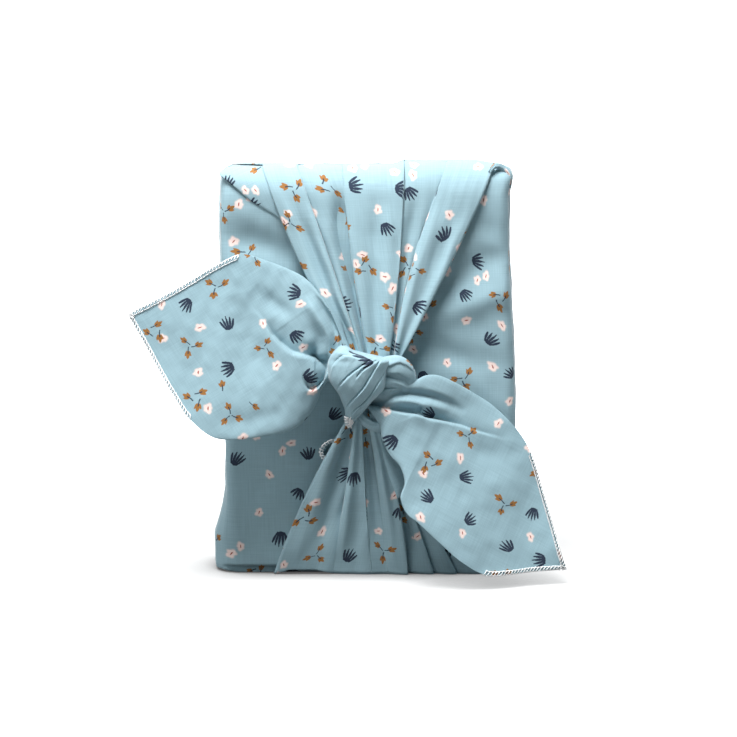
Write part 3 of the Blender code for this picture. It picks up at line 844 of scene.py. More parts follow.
RIGHT_TAIL = (
    (1, 115, -3, 108, -50, 4, 0, 0.6),
    (15.3, 118, 6.4, 95, -50, 7, 0, 0.8),
    (26, 119.8, 8.2, 87, -48.5, 9, 4, 1),
    (34.4, 123.2, 12.4, 78.2, -47, 10, 7, 1),
    (42.4, 122.8, 19, 71, -46, 10, 10, 1),
    (51.4, 118.6, 21.4, 62.4, -45, 9.6, 13, 1),
    (58.4, 114.6, 19, 54, -44.6, 9, 16, 1),
    (65, 110.4, 22.6, 45.4, -44.5, 8.4, 18, 0.9),
    (70.6, 107, 29.6, 39.8, -44.6, 7.4, 19, 0.8),
    (77.4, 101.6, 40.8, 29.4, -45, 6, 19.5, 0.6),
    (88.4, 90.6, 54.2, 17.8, -46.5, 4.4, 18.5, 0.3),
    (96.8, 77, 68, 9.4, -47, 3.2, 16, 0.1),
    (104, 54, 82.2, 8.6, -48, 2, 12, 0),
    (109.6, 35, 95.6, 9, -50, 1.6, 6, 0),
    (113.6, 20.6, 106.4, 9.2, -52, 0.8, 2, 0),
    (117.2, 10.2, 115.2, 9.2, -51.5, 0, 0, 0),
)
TAIL_ACROSS = 250
LEAN_GROWS = 1.5  # how the lean gathers toward the low border
LOW_LEAN, UP_LEAN = 1.5, 0.5  # shares of the lean, forward at the low border and back at the other
TAIL_FLARE = 5.0  # how far the outer end swings out toward the front
TAIL_WAVES = ((34.0, 0.45), (11.0, 0.12))
TAIL_CROWN = 0.6  # share of the crown that the cloth keeps
FLAT_ARC = math.radians(40.0)  # half the arc of a section with no rolled borders
ROLL_ARC = math.radians(95.0)  # and what a full roll adds to it

LEFT_FOLDS = (
    # The main fold: the lower sheet lies over the lobe above it.
    lapped(((-68, 164, 0), (-63.3, 158.3, 0.15), (-61.2, 155.2, 0.3), (-59.6, 152.5, 0.5),
        (-57.2, 147.5, 0.8), (-52.3, 142.6, 1), (-48.2, 139.3, 1), (-44.5, 137, 1), (-39.6, 135.8, 1),
        (-35.1, 134.7, 1), (-32.2, 133.5, 1), (-28.9, 131, 1), (-24.4, 128.5, 1), (-20, 126, 1)), side=-1,
        high=2.4, high_reach=10, low=6, low_reach=9, edge=0.7, lap=1.6),
    # Valleys of the lobe, and the two grooves of the roll along its upper border.
    trough(((-38, 162, 0), (-33.5, 154.5, 0.5), (-30.9, 149.6, 0.9), (-29.7, 146.3, 1), (-29.7, 143, 1),
        (-31.4, 138.9, 1), (-32.2, 135.1, 1), (-28.9, 131, 1), (-24.8, 128.7, 1)), 3.6, 4.4),
    trough(((-31.4, 141, 0), (-32.2, 135.5, 1), (-29.5, 131.5, 1), (-24.8, 128.7, 1), (-21, 127, 1)), 3.4,
        1.7),
    trough(((-68, 175, 0), (-60.8, 168.6, 0.8), (-57.5, 166.9, 1), (-53.4, 164, 1), (-49.3, 161.1, 0.7),
        (-43, 156, 0)), 2.4, 5),
    trough(((-38, 178, 0), (-31.5, 170.5, 0.3), (-28.8, 166.9, 0.6), (-26.4, 162.8, 0.9),
        (-23.5, 158.3, 1), (-21.1, 153.7, 1), (-19.6, 149.6, 1), (-19.2, 144.7, 1), (-19, 139, 0.8)), 4.6,
        2.7),
    ridge(((-38, 170, 0), (-32.9, 163.2, 0.8), (-29.7, 157.4, 1), (-26.4, 152.5, 1), (-22.7, 147.5, 1),
        (-19, 143.4, 0.5)), 1.3, 3),
    trough(((-16.9, 154, 0), (-16.8, 150, 1), (-16.4, 146.3, 1), (-16.4, 141, 1)), 2.2, 0.8),
    # The scoop beside the knot.
    lapped(((-38.6, 127, 0), (-38.4, 122.6, 0.15), (-37.2, 119, 0.35), (-35.6, 116.4, 0.7),
        (-32.8, 115.4, 1), (-29, 117.1, 1), (-25.9, 120.4, 1), (-24.6, 124.4, 1), (-24.3, 127.7, 0.8)),
        side=-1, high=1.6, high_reach=2.6, low=7.5, low_reach=4.6, edge=0.6, lap=1),
    # Soft ridges and troughs over the broad face.
    ridge(((-86, 176, 0), (-84.6, 160.3, 1), (-83.4, 148.3, 1), (-81.8, 128, 0)), 1.5, 8),
    trough(((-77, 172, 0), (-73, 156, 0.8), (-71, 146, 1), (-66, 134, 0.8), (-58, 122, 0)), 3, 9),
    trough(((-92, 102, 0), (-78, 98.5, 0.8), (-68, 98.5, 1), (-59, 101, 0.8), (-47, 108, 0)), 1.4, 5),
    ridge(((-124, 156, 0), (-104, 150, 0.7), (-92, 140, 0)), 1, 9),
    trough(((-118, 134, 0), (-104, 128, 0.8), (-92, 116, 0)), 1, 8),
)
RIGHT_FOLDS = (
    # The main fold: the lower sheet lies over the upper part.
    lapped(((0, 105.6, 1), (5, 104.6, 1), (11.1, 103.5, 1), (16.8, 102.2, 1), (22.9, 101.1, 1),
        (27.6, 100.5, 1), (32, 99.2, 1), (36.4, 97.6, 1), (41.5, 96.4, 0.9), (46.6, 95.1, 0.8),
        (51.6, 93.7, 0.7), (55.6, 92.7, 0.55), (63.8, 89.5, 0.4), (69.9, 87.7, 0.25), (76, 86.4, 0.1),
        (84, 84, 0)), side=-1, high=1, high_reach=12, low=5.8, low_reach=5, lap=1.5),
    # The valley under the upper border, the lens below it, and the pocket between lens and sheet.
    trough(((2, 106.5, 1), (5, 107.3, 1), (11.1, 109, 1), (14.5, 111.4, 1), (18.8, 112.8, 1),
        (24.6, 113, 1), (31.3, 112, 1), (38.1, 110.6, 0.9), (43.1, 108.9, 0.75), (48.2, 106.3, 0.5),
        (58, 100, 0)), 4.6, 2.5),
    ridge(((6, 106.3, 0), (11.1, 107.8, 0.6), (13.8, 109.3, 1), (17.2, 110.2, 1), (21.5, 110, 1),
        (26.3, 109, 1), (30.6, 107.7, 1), (36.4, 106, 0.9), (41.5, 104.4, 0.6), (48, 102, 0)), 1.3, 2.3),
    trough(((6, 105.2, 0.3), (14, 105, 1), (20, 104.3, 1), (26, 103.5, 1), (30, 103, 0.3)), 3, 2),
    lapped(((30, 106.2, 0.2), (31.7, 105.6, 0.8), (32.6, 104.3, 1), (32.5, 102.9, 1), (31.3, 101.5, 1),
        (29, 100.8, 0.5)), side=1, high=1.4, high_reach=3, low=2.6, low_reach=3, edge=0.6, lap=0.4),
    trough(((32.4, 100.7, 0.3), (36.4, 99.6, 1), (41.5, 98.5, 0.7), (46.6, 97.1, 0)), 2.2, 2.2),
    # Soft ridges and troughs over the broad face.
    trough(((40, 90, 0), (58, 84, 0.8), (74, 76, 0.8), (90, 62, 0)), 1.6, 8),
    ridge(((20, 90, 0), (34, 80, 0.7), (54, 72, 0.8), (78, 58, 0)), 1.2, 8),
    ridge(((30, 56, 0), (46, 48, 0.6), (66, 34, 0.8), (88, 16, 0)), 1, 7),
    trough(((88, 80, 0), (94, 62, 0.8), (100, 40, 0)), 1, 6),
)
# steps is how many rows of mesh each row of the table has.
TAILS = {
    "left_tail": dict(
        table=LEFT_TAIL, steps=24, folds=LEFT_FOLDS, seed=51, print_turn=-32.0, print_shift=(170.0, 330.0)
    ),
    "right_tail": dict(
        table=RIGHT_TAIL, steps=19, folds=RIGHT_FOLDS, seed=61, print_turn=28.0, print_shift=(410.0, 300.0)
    ),
}


def tail_section(row):
    """Points of a tail's section, how far each one faces the front, and its place on flat cloth."""
    arc = FLAT_ARC + ROLL_ARC * max(row["roll"], 0.0)
    widest = math.sin(min(arc, math.pi / 2))
    base = max(math.cos(arc), 0.0)
    angle = arc * np.linspace(-1, 1, TAIL_ACROSS)
    across = np.sin(angle) / widest
    stands = TAIL_CROWN * row["crown"] * (np.cos(angle) - base) / (1 - base)
    stands += row["lean"] * ((LOW_LEAN + UP_LEAN) * ((1 + across) / 2) ** LEAN_GROWS - UP_LEAN)
    up, low = np.array([row["up_x"], row["up_z"]]), np.array([row["low_x"], row["low_z"]])
    middle, half = (up + low) / 2, (low - up) / 2
    spots = middle + across[:, None] * half
    points = np.stack([spots[:, 0], row["edge"] - stands, spots[:, 1]], -1)
    travelled = distances_along(points)
    travelled -= travelled[TAIL_ACROSS // 2]
    reach = max(float(np.linalg.norm(half)), 0.01)
    on_cloth = middle + half / reach * travelled[:, None]
    return points, np.clip(np.cos(angle) * 2.5, 0, 1), on_cloth


def tail(name, table, steps, folds, seed, print_turn, print_shift):
    """A free tail with its rolled borders and its folds. Gives the object and its grid."""
    rows = named(TAIL_COLUMNS, refined(table, steps))
    sections = [tail_section(row) for row in rows]
    grid, strength, flat = (np.array(part) for part in zip(*sections))
    grid = press_folds(grid, folds, -1.0, strength)
    soft = rippled(seed, TAIL_WAVES, flat[..., 0], flat[..., 1])
    out = np.linspace(0, 1, len(rows))[:, None]
    grid[..., 1] -= soft + TAIL_FLARE * ramp(out, 0.35, 1) ** 1.5
    return sheet_object(name, grid, turned(flat, print_turn, print_shift)), grid


FLAP_RIM = ((11.5, 88), (14.2, 82.5), (17.2, 78.2), (21.6, 73.6), (24.6, 68), (26, 62.4), (24.6, 57),
            (21, 51.6))
FLAP_EDGE = ((7.6, 86), (8.6, 79.6), (9.8, 73.6), (11.4, 68.2), (13, 63), (14.6, 58.6), (16, 54.8),
             (17.4, 51))
FLAP_RIM_Y, FLAP_EDGE_Y = -48.0, -53.0


def ruled(rim, edge, count):
    """Places in the front view on a strip between two curves, and how far across it each one is."""
    rim, edge = np.array(refined(rim, 10)), np.array(refined(edge, 10))
    part = np.linspace(0, 1, count)[None, :, None]
    spots = rim[:, None] * (1 - part) + edge[:, None] * part
    return spots, np.broadcast_to(part[..., 0], spots.shape[:2])


def tail_flap():
    """The border of the right tail that turns back toward the front, seen from inside."""
    spots, along = ruled(FLAP_RIM, FLAP_EDGE, 30)
    y = FLAP_RIM_Y + (FLAP_EDGE_Y - FLAP_RIM_Y) * along**0.8
    grid = np.stack([spots[..., 0], y, spots[..., 1]], -1)
    return sheet_object("tail_flap", grid, turned(spots, 70.0, (310.0, 95.0)))


# ---------------------------------------------------------------- smaller layers on the box

TUCK_LINE = ((-88.4, 241.5), (-87.2, 240), (-80.7, 235.2), (-69.5, 225.7), (-61.8, 221), (-52, 215))
TUCK_ROUND = (-82.0, 6.4, 3.5)  # where its rounded corner begins, over how far, and how much it falls
TUCK_EDGE = ((0.5, 0.15), (0.0, 0.5), (0.0, 1.1))  # its lower edge: how high, and how far out
TUCK_STANDS, TUCK_BOW = 1.3, 0.5  # how far it stands off the box, and further in its middle
TUCK_ROWS = 26
EAR_PATH = (
    (72.0, -26.0, 242.6, 1.0, 1.0),
    (75.5, -24.0, 246.2, 1.6, 1.5),
    (80.0, -21.0, 245.0, 2.0, 1.9),
    (84.0, -20.0, 240.4, 2.1, 2.0),
    (84.6, -20.0, 233.0, 1.0, 1.0),
)


def corner_tuck():
    """The folded-in layer at the upper left corner, with its edge running down to the gather."""
    begin, reach, fall = TUCK_ROUND
    edge_rise, edge_lift = zip(*TUCK_EDGE)
    part = np.linspace(0.1, 1, TUCK_ROWS)
    stands = (TUCK_STANDS + TUCK_BOW * np.sin(part * math.pi)) * (1 - 0.8 * part**4)
    lift = np.concatenate([edge_lift, stands])
    grid, uv = [], []
    for x, low in refined(TUCK_LINE, 12):
        span = HEIGHT - 0.2 - fall * max((begin - x) / reach, 0.0) ** 2 - low
        z = low + np.concatenate([edge_rise, np.linspace(0.05, 1, TUCK_ROWS) * span])
        y = FRONT - lift + bent_back(z, "top_gather")
        grid.append(np.stack([np.full_like(z, x), y, z], -1))
        uv.append(np.stack([np.full_like(z, x), -z], -1))
    return sheet_object("corner_tuck", np.array(grid), turned(np.array(uv), 24.0, (40.0, 420.0)))


CURL_RIM = ((-18.5, 84), (-22, 83.4), (-25.4, 81.8), (-28.2, 78.6), (-28.4, 75), (-27.2, 72.6),
            (-25.2, 71.2))
CURL_ROOT = ((-16.5, 82.6), (-18, 80.6), (-19.4, 78.6), (-20.8, 76.4), (-22, 74.4), (-23, 72.6),
             (-24, 70.8))
CURL_Y, CURL_OUT, CURL_HOLLOW = -35.5, 3.5, 3.0  # its ends, how far its rim stands out, and its hollow
CURL_THREAD_COLUMN = 12  # the column of its mesh that the thread's inner side follows


def edge_curl():
    """The lip where the lower gather's sewn edge curls out beside the knot. Gives its grid too."""
    spots, along = ruled(CURL_RIM, CURL_ROOT, 22)
    ends = np.sin(np.pi * np.linspace(0.04, 0.96, len(spots)))[:, None]
    y = CURL_Y + ends * (CURL_HOLLOW * np.sin(np.pi * along) - CURL_OUT * (1 - along) ** 2)
    grid = np.stack([spots[..., 0], y, spots[..., 1]], -1)
    return sheet_object("edge_curl", grid, turned(spots, 12.0, (120.0, 60.0))), grid


# ---------------------------------------------------------------- thread over the cloth's edge

THREAD_RADIUS = 0.3
THREAD_SIDES = 4
THREAD_PITCH = 2.1
THREAD_REACH = 2.5
THREAD_LIFT = 0.8
INNER_LINE = 2.35  # how far in from the border the thread's straight inner line runs
# The points of one stitch, as it goes over the border, in and back: how far on, in half pitches,
# how far in from the border (past the reach where deep is 1), and how far out of the cloth.
STITCH_COLUMNS = ("ahead", "deep", "inward", "out")
STITCH = (
    (0.0, 0, -0.3, 0.15),
    (0.0, 0, 0.4, THREAD_LIFT),
    (0.5, 1, 0.0, THREAD_LIFT),
    (0.8, 1, 0.2, -0.3),
    (1.6, 0, 0.2, -0.5),
    (1.9, 0, -0.3, -0.2),
)


def tube_mesh(name, lines, radius, sides):
    """One mesh of thin tubes that follow lists of points, in millimetres."""
    points, faces = [], []
    for line in lines:
        line = np.asarray(line, float)
        ahead = units(np.gradient(line, axis=0))
        side = units(np.cross(ahead, [0.31, 0.2, 0.93]))
        other = np.cross(ahead, side)
        start = len(points)
        for spot, a, b in zip(line, side, other):
            for n in range(sides):
                angle = FULL_TURN * n / sides
                points.append(spot + radius * (a * math.cos(angle) + b * math.sin(angle)))
        for r in range(len(line) - 1):
            for n in range(sides):
                first, second = start + r * sides + n, start + r * sides + (n + 1) % sides
                faces.append((first, second, second + sides, first + sides))
    mesh = bpy.data.meshes.new(name)
    mesh.from_pydata((np.array(points) * MM).tolist(), [], faces)
    mesh.shade_smooth()
    return placed(name, mesh)


def spaced(border, inner, pitch):
    """Points along a border a pitch apart, with the unit way into the cloth at each."""
    travelled = distances_along(border)
    places = np.arange(0, travelled[-1], pitch)
    spots, within = (
        np.stack([np.interp(places, travelled, axis) for axis in np.transpose(line)], -1)
        for line in (border, inner)
    )
    return spots, units(within - spots)


def zigzag(spots, ways, draw):
    """The thread's stitches, one at each spot, as one line of points."""
    line = []
    for n, (spot, way) in enumerate(zip(spots, ways)):
        ahead = units(spots[min(n + 1, len(spots) - 1)] - spots[max(n - 1, 0)])
        normal = np.cross(ahead, way)
        normal *= -1.0 if normal[1] > 0 else 1.0
        reach = THREAD_REACH + draw.uniform(-0.25, 0.25)
        for stitch in named(STITCH_COLUMNS, STITCH):
            inward = stitch["inward"] + reach * stitch["deep"]
            along = ahead * (THREAD_PITCH / 2 * stitch["ahead"])
            line.append(spot + along + way * inward + normal * stitch["out"])
    return line


def overlock(name, borders, seed):
    """Zigzag overlock thread over cut borders: each is a line of edge points and one just inside."""
    draw = Random(seed)
    lines = []
    for border, inner in borders:
        spots, ways = spaced(border, inner, THREAD_PITCH)
        swing = 0.16 * (np.arange(len(spots)) % 2)[:, None]
        lines.append(zigzag(spots, ways, draw))
        lines.append(spots - ways * 0.25 + [0, -0.1, 0])
        lines.append(spots + ways * (INNER_LINE + swing) + [0, -0.5, 0])
    return tube_mesh(name, lines, THREAD_RADIUS, THREAD_SIDES)


def just_inside(section):
    """The point of a tail's section about 3 mm in from its first one."""
    gaps = np.linalg.norm(section - section[0], axis=1)
    return section[int(np.argmax(gaps >= min(3.0, gaps.max() * 0.9)))]


def tail_borders(grid, steps, starts):
    """A tail's two cut borders out to the tip, each with the line just inside it. starts gives the
    row of the table where the thread of each border begins."""
    borders = []
    for across, start in zip((1, -1), starts):
        sections = grid[round(start * steps) :, ::across]
        borders.append((sections[:, 0], [just_inside(section) for section in sections]))
    back = grid[-13][TAIL_ACROSS // 2]
    borders.append((grid[-1][[0, -1]], [back, back]))
    return borders


# ---------------------------------------------------------------- materials


class Wire:
    """What comes out of a shader node. Arithmetic with it adds math nodes."""

    def __init__(self, nodes, socket):
        self.nodes = nodes
        self.socket = socket

    def __add__(self, other):
        return self.nodes.math("ADD", self, other)

    def __sub__(self, other):
        return self.nodes.math("SUBTRACT", self, other)

    def __rsub__(self, other):
        return self.nodes.math("SUBTRACT", other, self)

    def __mul__(self, other):
        return self.nodes.math("MULTIPLY", self, other)

    def __truediv__(self, other):
        return self.nodes.math("DIVIDE", self, other)

    def __abs__(self):
        return self.nodes.math("ABSOLUTE", self)

    __radd__ = __add__
    __rmul__ = __mul__


class Nodes:
    """Short ways to add shader nodes and link them."""

    def __init__(self, tree):
        self.tree = tree

    def add(self, kind, inputs=(), output=0, **settings):
        node = self.tree.nodes.new(kind)
        for name, value in settings.items():
            setattr(node, name, value)
        for key, value in dict(inputs).items():
            self.put(node.inputs[key], value)
        return Wire(self, node.outputs[output])

    def put(self, socket, value):
        if isinstance(value, Wire):
            self.tree.links.new(value.socket, socket)
        else:
            socket.default_value = value

    def math(self, operation, *values):
        return self.add("ShaderNodeMath", enumerate(values), operation=operation)

    def vector(self, operation, *values):
        return self.add("ShaderNodeVectorMath", enumerate(values), operation=operation)

    def scaled(self, vector, factor):
        return self.add("ShaderNodeVectorMath", {0: vector, "Scale": factor}, operation="SCALE")

    def apart(self, vector):
        node = self.add("ShaderNodeSeparateXYZ", {0: vector}).socket.node
        return [Wire(self, socket) for socket in node.outputs]

    def together(self, x, y, z=0.0):
        return self.add("ShaderNodeCombineXYZ", {0: x, 1: y, 2: z})

    def grey(self, value):
        return self.together(value, value, value)

    def step(self, value, begin, end, low=0.0, high=1.0):
        inputs = {"Value": value, "From Min": begin, "From Max": end, "To Min": low, "To Max": high}
        return self.add("ShaderNodeMapRange", inputs, interpolation_type="SMOOTHSTEP")

    def mix(self, share, first, second):
        return self.add("ShaderNodeMix", {0: share, 6: first, 7: second}, 2, data_type="RGBA")

    def noise(self, vector, scale, detail=1.0, output=0):
        inputs = {"Vector": vector, "Scale": scale, "Detail": detail, "Roughness": 0.55}
        return self.add("ShaderNodeTexNoise", inputs, output)

    def random(self, cell, seed):
        """Three random numbers for a cell."""
        moved = self.vector("ADD", cell, (seed * 7.13, seed * 3.71, seed * 1.37))
        return self.apart(self.add("ShaderNodeTexWhiteNoise", {"Vector": moved}, 1, noise_dimensions="3D"))

    def spun(self, x, y, angle):
        """x and y turned back by an angle."""
        c, s = self.math("COSINE", angle), self.math("SINE", angle)
        return x * c + y * s, y * c - x * s

    def length(self, x, y):
        return self.math("SQRT", x * x + y * y)

    def between(self, value, low, high):
        return self.math("MINIMUM", self.math("MAXIMUM", value, low), high)

    def inside(self, distance, blur=0.28):
        """1 where a distance in millimetres is below zero."""
        return self.step(distance, blur / 2, -blur / 2)


def new_material(name):
    """A material, its shader and its nodes."""
    material = bpy.data.materials.new(name)
    material.use_nodes = True
    tree = material.node_tree
    return material, tree.nodes["Principled BSDF"], Nodes(tree)


def linear(code):
    """A linear colour from a six-figure screen colour."""
    values = [int(code[k : k + 2], 16) / 255 for k in (0, 2, 4)]
    return tuple(v / 12.92 if v <= 0.04045 else ((v + 0.055) / 1.055) ** 2.4 for v in values) + (1.0,)


CLOTH_COLOUR = linear("95B2BC")
THREAD_COLOUR = linear("FBFBFB")
INKS = {
    "halo": linear("E9BDB0"),
    "flower": linear("F0D9D2"),
    "dash": linear("9A4638"),
    "leaf": linear("996A3A"),
    "stem": linear("2F3A48"),
    "tuft": linear("2E3849"),
}
# The print, in millimetres.
CELL = 24.0  # between motifs
FLOWER_CELLS = (0.0, 4.2, 1.0)  # the motifs' lattices: offset in cells, jitter and seed
SPRIG_CELLS = (0.5, 3.4, 2.0)
LEAF_CELLS = (0.25, 6.0, 3.0)
DRIFTS = ((0.028, 10.0), (1.1, 0.5))  # how the print wanders and how rough it is: scale and reach
FLOWER_RADIUS = 2.5
FLOWER_WAVES = ((5.0, 0.26, 1.0), (3.0, 0.24, 2.3), (2.0, 0.34, 0.0))  # count, swing and phase
LEAF_LOBES = ((0.0, 4.7), (0.62, 3.4), (-0.54, 3.7))  # turn and reach
STEM_ENDS = (-2.5, 1.3)
TUFT_REACH = 6.4  # from a tuft's middle back to where its blades would meet
BLADE_PITCH = math.radians(14.5)
WEAVE_PITCH = 0.42


def flower(n, x, y, phase):
    """A soft uneven blossom, and the dash at its middle."""
    angle = n.math("ARCTAN2", y, x)
    rim = FLOWER_RADIUS
    for waves, swing, shift in FLOWER_WAVES:
        rim = rim + n.math("COSINE", angle * waves + phase * shift) * swing
    return n.length(x, y) - rim, n.length(x * 0.27, y) - 0.31


def leaf(n, x, y):
    """A three-lobed leaf that points along +x from a stem at its foot: edge and stem distances."""
    lobes = []
    for turn, reach in LEAF_LOBES:
        a, b = n.spun(x, y, turn)
        a = a - reach * 0.5
        lobes.append(n.length(a * 0.5, b * (a * (0.9 / reach) + 1.0)) - reach * 0.235)
    edge = n.math("MINIMUM", n.math("MINIMUM", lobes[0], lobes[1]), lobes[2])
    on_stem = n.between(x, *STEM_ENDS)
    return edge, n.length(x - on_stem, y - on_stem * on_stem * 0.06) - 0.3


def tuft(n, x, y):
    """A tuft of tapered blades that fan out from a rounded foot."""
    x = x + TUFT_REACH
    radius = n.length(x, y)
    turn = n.between(n.math("ROUND", n.math("ARCTAN2", y, x) / BLADE_PITCH), -2.0, 2.0) * BLADE_PITCH
    _, across = n.spun(x, y, turn)
    across = across + turn * n.math("POWER", radius - 3.0, 2.0) * 0.022
    width = n.math("MINIMUM", n.step(radius, 3.0, 7.0, 0.35, 0.74), n.step(radius, 7.0, 11.6, 0.74, 0.24))
    tip = n.step(abs(turn), 0.0, 0.5, 11.4, 9.8)
    ends = n.math("MAXIMUM", radius - tip, 3.4 - radius)
    blades = n.math("MAXIMUM", abs(across) - width, ends)
    return n.math("MINIMUM", blades, n.length(x - 4.0, y * 0.6) - 1.35)


def cell_frame(n, x, y, offset, jitter, seed):
    """The nearest motif centre of a lattice: place from it, turned at random, and random numbers."""
    cell_x, cell_y = x / CELL + offset, y / CELL + offset
    row = n.math("FLOOR", cell_y)
    cell_x = cell_x + n.math("FLOORED_MODULO", row, 2.0) * 0.5
    column = n.math("FLOOR", cell_x)
    cell = n.together(column, row, seed)
    *draws, turn = n.random(cell, seed)
    local = [
        (place - corner - 0.5) * CELL - (draw - 0.5) * (2 * jitter)
        for place, corner, draw in zip((cell_x, cell_y), (column, row), draws)
    ]
    return *n.spun(*local, turn * FULL_TURN), n.random(cell, seed + 5.0)


def print_masks(n, place):
    """Masks of the motifs' colours at a place on the flat cloth, in the order of printing."""
    moved = place
    for scale, reach in DRIFTS:
        drift = n.noise(n.scaled(place, scale), 1.0, output=1)
        moved = n.vector("ADD", moved, n.scaled(n.vector("SUBTRACT", drift, (0.5, 0.5, 0.5)), reach))
    x, y, _ = n.apart(moved)

    ax, ay, (a1, a2, a3) = cell_frame(n, x, y, *FLOWER_CELLS)
    phase = a2 * FULL_TURN
    across_x, across_y = n.spun(ax, ay, a3 * 3.0)
    twin = n.spun(across_x - 7.0, across_y, 0.8)
    bx, by, (b1, b2, _) = cell_frame(n, x, y, *SPRIG_CELLS)
    third = FULL_TURN / 3
    tx, ty = n.spun(bx, by, n.math("ROUND", n.math("ARCTAN2", by, bx) / third) * third)
    sprig = n.spun(tx - 3.4, ty, (b2 - 0.5) * 2.2)
    cx, cy, (c1, _, _) = cell_frame(n, x + 13.0, y + 7.0, *LEAF_CELLS)

    # Each motif's outer and inner distance, and the random numbers from and to which a cell has it.
    flowers = ((flower(n, ax, ay, phase), a1, 0.0, 0.62), (flower(n, *twin, phase + 2.0), a1, 0.0, 0.16))
    leaves = ((leaf(n, *sprig), b1, 0.46, 0.82), (leaf(n, cx, cy), c1, 0.0, 0.12))
    tufts = (([tuft(n, bx, by)], b1, 0.0, 0.42),)

    def shown(motifs, part, **blur):
        masks = []
        for distances, draw, low, high in motifs:
            here = n.math("GREATER_THAN", draw, low) * n.math("LESS_THAN", draw, high)
            masks.append(n.inside(distances[part], **blur) * here)
        return n.math("MAXIMUM", *masks) if len(masks) > 1 else masks[0]

    return dict(
        halo=shown(flowers, 0, blur=2.0) * 0.12,
        flower=shown(flowers, 0, blur=1.5),
        dash=shown(flowers, 1),
        leaf=shown(leaves, 0),
        stem=shown(leaves, 1),
        tuft=shown(tufts, 0, blur=0.2),
    )


def cotton(name, through=0.0, printed=True):
    """Fine printed cotton. through is the share of the light behind it that it lets pass."""
    material, shader, n = new_material(name)
    place = n.scaled(n.add("ShaderNodeUVMap", uv_map=CLOTH_UV), 1000.0)
    x, y, _ = n.apart(place)

    colour = CLOTH_COLOUR if printed else CLOTH_COLOUR[:3]
    if printed:
        for motif, mask in print_masks(n, place).items():
            colour = n.mix(mask, colour, INKS[motif])
    warp = n.noise(n.together(x * 1.9, y * 0.05), 1.0)
    weft = n.noise(n.together(x * 0.05, y * 1.9), 1.0)
    streaks = (warp - 0.5) + (weft - 0.5)
    clouds = n.noise(n.scaled(place, 0.05), 1.0, 3.0) - 0.5
    colour = n.vector("MULTIPLY", colour, n.grey(streaks * 0.24 + clouds * 0.10 + 1.0))
    n.put(shader.inputs["Base Color"], colour)

    threads = [abs(n.math("SINE", axis * (math.pi / WEAVE_PITCH))) for axis in (x, y)]
    height = threads[0] * threads[1] * 0.6 + streaks * 0.9
    bump = n.add("ShaderNodeBump", {"Height": height, "Strength": 0.35, "Distance": 0.00012})
    n.put(shader.inputs["Normal"], bump)
    shader.inputs["Roughness"].default_value = 0.86
    shader.inputs["Specular IOR Level"].default_value = 0.22
    shader.inputs["Sheen Weight"].default_value = 0.45
    shader.inputs["Sheen Roughness"].default_value = 0.3
    if through:
        glow = n.add("ShaderNodeBsdfTranslucent", {"Color": colour})
        mixed = n.add("ShaderNodeMixShader", {0: through, 1: Wire(n, shader.outputs[0]), 2: glow})
        n.put(material.node_tree.nodes["Material Output"].inputs[0], mixed)
    return material


def thread_material():
    """Off-white sewing thread."""
    material, shader, n = new_material("overlock_thread")
    twist = n.noise(n.add("ShaderNodeTexCoord", output=3), 900.0)
    shade = n.step(twist, 0.3, 0.7, 0.9, 1.0)
    n.put(shader.inputs["Base Color"], n.vector("MULTIPLY", THREAD_COLOUR[:3], n.grey(shade)))
    shader.inputs["Roughness"].default_value = 0.7
    shader.inputs["Sheen Weight"].default_value = 0.15
    return material


# ---------------------------------------------------------------- the whole wrap

WRAP_TIP = (
    (-13.6, -52.0, 100.0),
    (-13.6, -50.5, 97.0),
    (-12.9, -49.2, 94.4),
    (-11.4, -49.0, 92.8),
    (-9.8, -51.0, 94.4),
    (-8.4, -53.5, 97.4),
)
WRAP_TIP_INSIDE = (-11.2, -57.0, 100.0)
SINGLE_LAYERS = ("left_tail", "right_tail", "tail_flap")  # light comes through these
SEE_THROUGH = 0.15
BETWEEN_MOTIFS = ("lower_collar", "lower_loop", "left_root")  # small pieces that fall between motifs


def build_wrap():
    """Every piece of cloth, and the thread sewn over some of them by the cloth's name."""
    left, left_grid = tail("left_tail", **TAILS["left_tail"])
    right, right_grid = tail("right_tail", **TAILS["right_tail"])
    curl, curl_grid = edge_curl()
    cloth = [wrapped_box()]
    cloth += [gather(name, **shape) for name, shape in GATHERS.items()]
    cloth += [corner_tuck(), rolled_band("corner_ear", EAR_PATH, (), 47), knot_wrap()]
    cloth += [left, right, tail_flap(), curl]
    cloth += [rolled_band(name, **shape) for name, shape in ROLLS.items()]

    curl_borders = [(curl_grid[:, 0], curl_grid[:, CURL_THREAD_COLUMN])]
    tip, tip_inside = np.array(WRAP_TIP), np.array([WRAP_TIP_INSIDE] * len(WRAP_TIP))
    tip_borders = [(tip + (tip_inside - tip) * share, tip_inside) for share in (0.0, 0.2, 0.4)]
    left_borders = tail_borders(left_grid, TAILS["left_tail"]["steps"], (7.2, 8.0))
    right_borders = tail_borders(right_grid, TAILS["right_tail"]["steps"], (11, 11))
    threads = {
        "edge_curl": overlock("edge_curl_thread", curl_borders, 73),
        "knot_wrap": overlock("wrap_tip_thread", tip_borders, 74),
        "left_tail": overlock("left_tail_thread", left_borders, 71),
        "right_tail": overlock("right_tail_thread", right_borders, 72),
    }
    return cloth, threads


def dress(cloth, threads):
    """Gives each piece its material."""
    printed = cotton("printed_cotton")
    single = cotton("printed_cotton_single", SEE_THROUGH)
    plain = cotton("cotton_between_motifs", printed=False)
    sewing = thread_material()
    looks = dict.fromkeys(SINGLE_LAYERS, single) | dict.fromkeys(BETWEEN_MOTIFS, plain)
    for piece in cloth:
        piece.data.materials.append(looks.get(piece.name, printed))
    for piece in threads.values():
        piece.data.materials.append(sewing)


